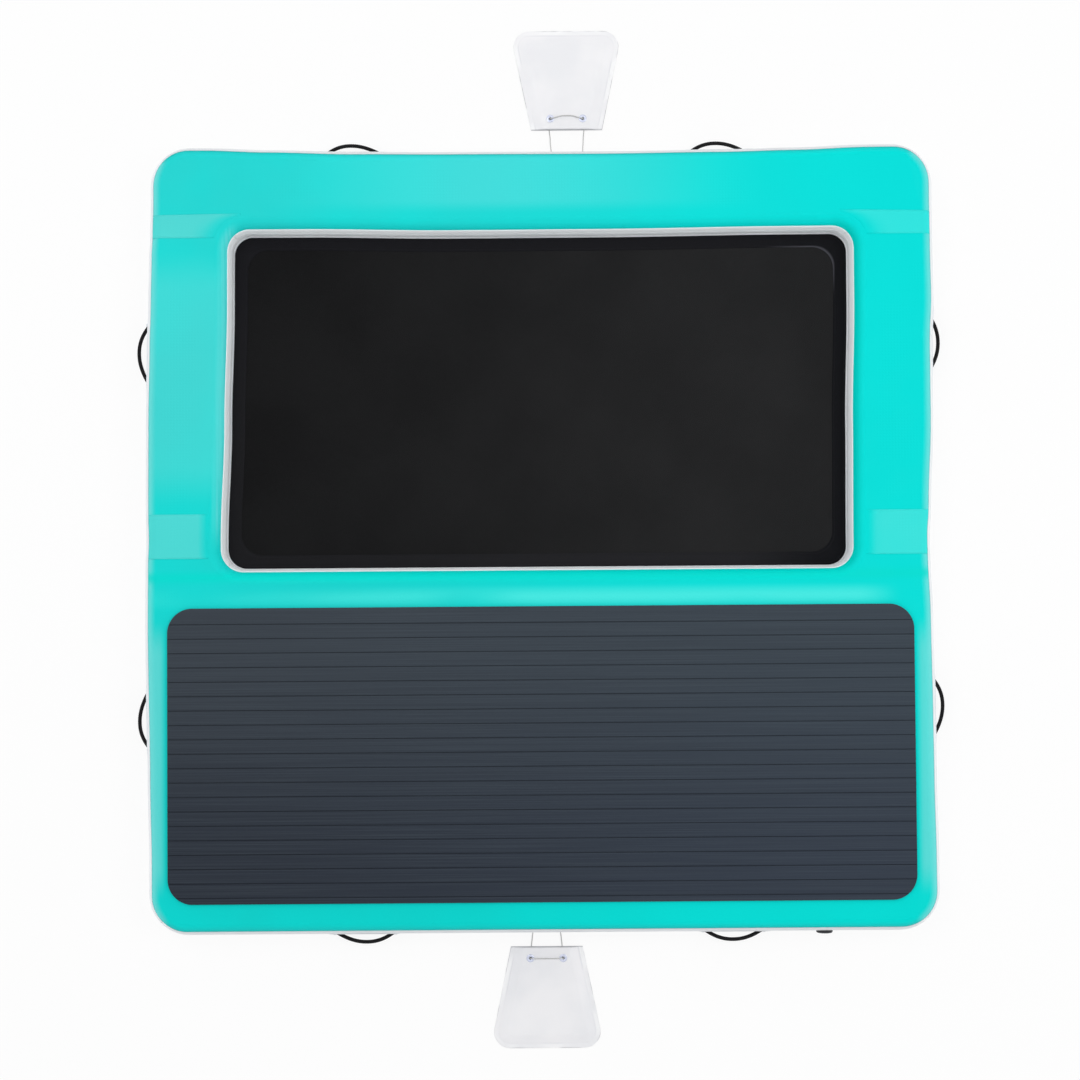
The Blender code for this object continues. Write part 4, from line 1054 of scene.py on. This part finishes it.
def opening_loop(pitch):
    """Stations all the way round the opening, each once, with the hem's inner edge beside each."""
    corners = []
    for start in (0, 90, 180, 270):
        pairs = zip(arc(opening, start, start + 90), arc(hem_line, start, start + 90), strict=True)
        corners += [(*wall, *inner[:2]) for wall, inner in pairs]
    return filled([*corners, corners[0]], pitch)[:-1]


def hem_point(place, share, height):
    """A point across the hem: share 0 at the wall, 1 at its inner edge."""
    x, y, fx, fy, inner_x, inner_y = place
    wall = Vector((x + fx * net_edge, y + fy * net_edge, height))
    return wall.lerp(Vector((inner_x, inner_y, height)), share)


def make_net():
    loop = opening_loop(0.03)
    bm = bmesh.new()
    rings = []
    for share in (0.0, 0.5, 1.0):
        height = net_top - 0.0010 * share
        rings.append([bm.verts.new(settle(hem_point(place, share, height))) for place in loop])
    for share in (0.97, 0.93, 0.87, 0.80, 0.72, 0.62, 0.52, 0.42, 0.32, 0.22, 0.12, 0.05):
        ring = []
        for place in loop:
            point = net_middle.lerp(hem_point(place, 1.0, 0.0), share)
            crease = noise.noise(Vector((point.x * 3.0, point.y * 3.0, 0.4)))
            crease += 0.5 * noise.noise(Vector((point.x * 8.0, point.y * 5.0, 2.1)))
            point.z = net_top - 0.0016 - net_sag * (1 - share**2)
            point.z += net_crease * crease * min(1.0, (1 - share) / 0.2)
            ring.append(bm.verts.new(settle(point)))
        rings.append(ring)
    tube(bm, rings)
    bm.faces.new(rings[-1])
    return stand_for(sheet("lounge_net_weave", bm, "net", 0.0010), "hull", "net_black", "lounge_net")


def make_hem():
    """Webbing folded over the net's edge, lying a little unevenly."""
    loop = opening_loop(0.012)
    reach = distances([hem_point(place, 0.5, 0.0) for place in loop])
    bm = bmesh.new()
    layers = add_layers(bm, "along", "across")
    steps = (0.0002, 0.0012, 0.004, 0.009, 0.015, 0.021, 0.027, 0.033, 0.038, 0.0408, 0.0418)
    lift = (-0.0006, -0.0001, 0.0, -0.0003, 0.0, 0.0, 0.0, -0.0001, 0.0005, 0.0002, -0.0006)
    rings = []
    for width, rise in zip(steps, lift, strict=True):
        share = width / hem_width
        ring = []
        for place, along in zip(loop, reach):
            height = net_top + 0.0019 - 0.0015 * share + rise
            height += 0.0004 * noise.noise(Vector((place[0] * 22.0, place[1] * 22.0, width * 60.0)))
            ring.append(corner(bm, settle(hem_point(place, share, height)), layers, (along, width)))
        rings.append(ring)
    tube(bm, rings)
    return stand_for(sheet("net_hem_webbing", bm, "hem", 0.0013), "hull", "webbing_black", "net_hem")


def make_flange():
    foot_top = net_height - 0.0004
    foot_low = foot_top - 0.001
    foot = bulge + 0.0124
    angles = evenly(math.radians(74.0), math.acos(foot_top / (thickness / 2) - 1), 10)
    back = [wall_section(angle, 0.0004) for angle in reversed(angles)]
    front = [wall_section(angle, 0.0010) for angle in angles]
    section = [(back[0][0], foot_low), *back[1:], *front[:-1], (front[-1][0], foot_top)]
    section += [(foot, foot_top), (foot, foot_low)]
    bm = bmesh.new()
    rows = []
    for x, y, fx, fy, _, _ in opening_loop(0.03):
        row = [bm.verts.new(settle((x + fx * out, y + fy * out, z))) for out, z in section]
        rows.append([*row, row[0]])
    strip(bm, rows, closed=True)
    stand_for(solid("net_flange_strip", bm, "liner"), "hull", "pvc_white", "net_flange")


net = make_net()
hem = make_hem()
make_flange()


# Deck pad

pad_half = 1.1618
pad_y = (-1.125, -0.208)
pad_radius = 0.078
pad_low = 0.1504
groove_depth = 0.0016
groove_half = 0.0015
first_groove = 0.0502
groove_pitch = 0.0446
groove_count = 20


def pad_reach(y, inset):
    """Half the pad's width at a place along it."""
    drop = pad_radius - min(pad_radius, max(0.0, min(y - pad_y[0], pad_y[1] - y)))
    return pad_half - pad_radius + math.sqrt(pad_radius**2 - drop**2) - inset


def slab(bm, y_low, y_high, low, high, edge):
    """A piece of the pad between two lines, with its upper edges rounded off."""
    ys = [y_low, y_high]
    for i in range(1, 40):
        near_end = pad_radius * (1 - math.cos(math.pi / 2 * i / 40))
        ys += [y for y in (pad_y[0] + near_end, pad_y[1] - near_end) if y_low + 0.0005 < y < y_high - 0.0005]
    ys.sort()
    rings = []
    for height, inset in ((low, 0.0), (high - edge, 0.0), (high - edge * 0.3, edge * 0.3), (high, edge)):
        ring = []
        for hand in (1, -1):
            for y in ys[::hand]:
                squeezed = min(max(y, y_low + inset), y_high - inset)
                ring.append(bm.verts.new((hand * max(0.001, pad_reach(y, inset)), squeezed, height)))
        rings.append(ring)
    tube(bm, rings)
    bm.faces.new(rings[0])
    bm.faces.new(rings[-1])


def make_pad():
    bm = bmesh.new()
    front = pad_y[0] + 0.0001
    rear = pad_y[1] - 0.0001
    slab(bm, front, rear, pad_low, pad_high - groove_depth, 0.0002)
    cuts = [pad_y[1] - first_groove - groove_pitch * i for i in range(groove_count)]
    tops = [rear] + [cut - groove_half for cut in cuts]
    lows = [cut + groove_half for cut in cuts] + [front]
    for high, low in zip(tops, lows, strict=True):
        slab(bm, low, high, pad_high - groove_depth - 0.0002, pad_high, 0.0007)
    pad = solid("deck_pad_foam", bm, "pad", 30.0)
    stand_for(pad, "hull", "eva_slate", "deck_pad")


make_pad()


# Rope grab handles, and the patches on the wall that hold them and the bags' cords

rope_radius = 0.0061
handle_half = 0.090
handle_depth = 0.0305
patch_corner = 0.018
patch_lift = 0.0004
patch_thick = 0.0014
patch_foot = math.radians(126.0)
handle_patch = (0.230, 80.0)
anchor_patch = (0.150, 105.0)
wall_radius = 0.062
keeper = ((0.0, 0.0956), (0.0052, 0.0952), (0.0061, 0.0938), (0.0065, 0.0918), (0.0070, 0.0913))
keeper += ((0.0080, 0.0915), (0.0085, 0.0922), (0.0085, 0.0980), (0.0080, 0.1002), (0.0067, 0.1012))
keeper += ((0.0, 0.1015),)
eye = ((0.0022, 0.0004), (0.0028, 0.0), (0.0037, 0.0001), (0.0041, 0.0007), (0.0041, 0.0094))
eye += ((0.0037, 0.0100), (0.0028, 0.0101), (0.0022, 0.0097))


def handle_line(lean):
    points = []
    for u in evenly(-1.0, 1.0, 128):
        out = handle_depth * (1 - abs(u - lean * (1 - u * u)) ** 2.1)
        points.append(Vector((handle_half * u, -out, 0.0)))
    return points


def patch_sheet(bm, length, first):
    """A rectangle of fabric with rounded corners that follows the wall, with its thickness."""
    middle = (first + patch_foot) / 2
    half = (patch_foot - first) / 2
    reach = half * wall_radius
    sections = []
    for u in evenly(-1.0, 1.0, 24):
        u = math.copysign(1 - (1 - abs(u)) ** 1.6, u)
        past = max(0.0, abs(u) * length / 2 - length / 2 + patch_corner) / patch_corner
        squeeze = 1 - patch_corner * (1 - math.sqrt(max(0.0, 1 - past**2))) / reach
        angles = evenly(middle - half * squeeze, middle + half * squeeze, 8)
        lines = []
        for offset in (patch_lift + patch_thick, patch_lift):
            section = [wall_section(angle, offset) for angle in angles]
            lines.append([bm.verts.new((u * length / 2, -out, height)) for out, height in section])
        sections.append(lines)
    strip(bm, [[*top, *low[::-1], top[0]] for top, low in sections])
    strip(bm, sections[0])
    strip(bm, sections[-1])


def wall_patch(name, node, wall, length, first, spot, profile, segments):
    """A welded patch on the uneven wall, with two turned pieces that look away from each other. first is the
    wall's angle at its upper edge, in degrees."""
    matrix = frame_on(*wall)
    bm = bmesh.new()
    patch_sheet(bm, length, math.radians(first))
    for hand in (-1, 1):
        turned(bm, profile, segments, Matrix.Translation(spot) @ Matrix.Rotation(hand * math.pi / 2, 4, "Y"))
    for vert in bm.verts:
        vert.co = settle(matrix @ vert.co)
    stand_for(solid(name, bm, "white"), "hull", "pvc_white", node)


def make_handle(name, degrees, along, lean):
    middle = (0.0, *handle_axis)
    rope = sweep(f"handle_rope_{name}", handle_line(lean), rope_radius, 44, "rope", plait, 0.16)
    rope.data.transform(frame_on(degrees, along) @ Matrix.Translation(middle))
    stand_for(rope, f"handle_{name}", "rope_black", f"grab_handle_{name}")
    pad_name = f"handle_pad_{name}"
    wall_patch(pad_name, f"handle_patch_{name}", (degrees, along), *handle_patch, middle, keeper, 28)


for handle_name, handle_sizes in handles.items():
    make_handle(handle_name, *handle_sizes)


# Ballast bags with their anchors

bag_mouth_half = 0.114
bag_end_half = 0.181
bag_corner = 0.052
bag_thick = 0.0010
eyelet_room = 0.0075
eyelet_margin = 0.0015
ring_section = ((0.0044, 0.0118), (0.0112, 0.0118), (0.0114, 0.0123), (0.0062, 0.0125), (0.0062, 0.0142))
ring_section += ((0.0123, 0.0142), (0.0125, 0.0145), (0.0118, 0.0149), (0.0098, 0.0152), (0.0070, 0.0152))
ring_section += ((0.0052, 0.0148), (0.0044, 0.0141))


# The bag's edge: from a corner of its mouth straight to the arc that rounds off its wide end

bag_slant = math.atan2(bag_end_half - bag_mouth_half, bag_length)
bag_turn_y = bag_length - bag_corner
bag_turn_x = bag_mouth_half + bag_turn_y * math.tan(bag_slant) - bag_corner / math.cos(bag_slant)
bag_edge = [(bag_mouth_half, 0.0)]
for turn in evenly(-bag_slant, math.pi / 2, 24):
    bag_edge.append((bag_turn_x + bag_corner * math.cos(turn), bag_turn_y + bag_corner * math.sin(turn)))


def bag_half(down):
    """Half the bag's width at a distance from its mouth."""
    for (a, low), (b, high) in zip(bag_edge, bag_edge[1:]):
        if down <= high:
            return a + (b - a) * (down - low) / (high - low)
    return bag_turn_x


def bag_grid():
    """Rows of (across, down, distance in from the welded edge), from the mouth to the wide end."""
    room = eyelet_room + eyelet_margin
    downs = [bag_length * (1 - left**1.3) for left in evenly(1.0, 0.0, 60)]
    downs = [down for down in downs if abs(down - eyelet_down) > room]
    downs += [eyelet_down - eyelet_room, eyelet_down + eyelet_room]
    calm = bag_half(eyelet_down)
    shares = [math.copysign(1 - (1 - abs(u)) ** 1.25, u) for u in evenly(-1.0, 1.0, 56)]
    shares = [share for share in shares if abs(abs(share) - eyelet_across / calm) > room / calm]
    for hand in (-1, 1):
        shares += [hand * (eyelet_across + reach) / calm for reach in (-eyelet_room, eyelet_room)]
    rows = []
    for down in sorted(downs):
        half = bag_half(down)
        row = []
        for share in sorted(shares):
            x = half * share
            inner = min(half - abs(x), bag_length - down)
            past = (abs(x) - bag_turn_x, down - bag_turn_y)
            if min(past) > 0:
                inner = min(inner, bag_corner - math.hypot(*past))
            row.append((x, down, max(0.0, inner)))
        rows.append(row)
    return rows


def upper_height(x, down, inner, seed):
    """The upper fabric of a slack bag: a flat weld flange, a step, then soft puffs and a few long folds."""
    step = ease(inner, bag_weld, bag_weld + 0.004)
    swell = ease(inner, bag_weld, bag_weld + 0.034)
    soft = noise.noise(Vector((x * 9.0, down * 6.0, seed)))
    fold = noise.noise(Vector((x * 34.0 + down * 9.0, down * 7.0, seed + 5.0)))
    calm = math.sin(min(1.0, abs(down - eyelet_down) / 0.036) * math.pi / 2) ** 2
    return 0.0026 + 0.0016 * step + 0.0096 * swell + swell * calm * (0.0016 * soft + 0.0007 * fold - 0.0012)


def lower_height(x, down, inner, seed):
    """The lower fabric, flat on the floor, with its welded edge turned up."""
    return 0.0002 + 0.0012 * (1 - ease(inner / bag_weld))


def make_bag(end, bag):
    matrix = frame_on(*bag["wall"])
    body = f"bag_{end}"
    node = f"ballast_bag_{end}"
    hole_y = -bag["mouth"] - eyelet_down
    middles = {"left": Vector((-eyelet_across, hole_y, 0.0)), "right": Vector((eyelet_across, hole_y, 0.0))}
    for part, height_at, offset in (("upper", upper_height, -1.0), ("lower", lower_height, 1.0)):
        bm = bmesh.new()
        layers = add_layers(bm, "inner", "from_mouth")
        lines = []
        for row in bag_grid():
            line = []
            for x, down, inner in row:
                point = (x, -(bag["mouth"] + down), height_at(x, down, inner, bag["seed"]))
                line.append(corner(bm, point, layers, (inner, down)))
            lines.append(line)
        strip(bm, lines)
        if part == "upper":
            holes = []
            for face in bm.faces:
                middle = face.calc_center_median()
                if math.hypot(abs(middle.x) - eyelet_across, middle.y - hole_y) < eyelet_room / 2:
                    holes.append(face)
            bmesh.ops.delete(bm, geom=holes, context="FACES")
        bm.transform(matrix)
        obj = sheet(f"{node}_{part}_fabric", bm, "bag", bag_thick, offset=offset, even=False)
        stand_for(obj, body, "bag_white", f"{node}_{part}_panel")
    for hand, middle in middles.items():
        bm = bmesh.new()
        turned(bm, ring_section, 40, matrix @ Matrix.Translation(middle))
        ring = solid(f"{node}_ring_{hand}", bm, "nickel", 35.0)
        stand_for(ring, body, "eyelet_nickel", f"{node}_eyelet_{hand}")


def make_anchor(end, bag):
    spot = (0.0, -anchor_out, anchor_high)
    profile = [(r, bag["gap"] + z) for r, z in eye]
    wall_patch(f"lanyard_patch_{end}", f"lanyard_anchor_{end}", bag["wall"], *anchor_patch, spot, profile, 24)


for make in (make_bag, make_anchor):
    for bag_end, bag_sizes in bags.items():
        make(bag_end, bag_sizes)


# Valve spring

spring_wire = 0.0006
spring_turns = 6


def make_spring():
    """The coil round the valve's stem, built to fill the frame's spring. On the real valve it shortens as the
    poppet is pressed.
    """
    low, high = (Vector(limit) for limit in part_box("valve_spring"))
    middle = (low + high) / 2
    reach = (high.x - low.x) / 2 - spring_wire
    length = high.y - low.y
    points = []
    for share in evenly(0.0, 1.0, 24 * spring_turns):
        turn = 2 * math.pi * spring_turns * share
        y = high.y - spring_wire - (length - 2 * spring_wire) * share
        points.append(Vector((middle.x + reach * math.cos(turn), y, middle.z + reach * math.sin(turn))))
    spring = sweep("valve_spring_coil", points, spring_wire, 10, "steel")
    stand_for(spring, "hull", "spring_steel", "valve_spring")
    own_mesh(spring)


make_spring()


# What keeps its own shape and gets its finish

finishes = {"drop_yarn": "yarn", "valve_gasket": "rubber"}
finishes |= dict.fromkeys(("valve_body", "valve_cap", "valve_nut", "valve_poppet"), "plastic")
for node_name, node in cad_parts.items():
    for start, look_name in finishes.items():
        if node_name.startswith(start):
            for material_slot in node.material_slots:
                material_slot.material = looks[look_name]
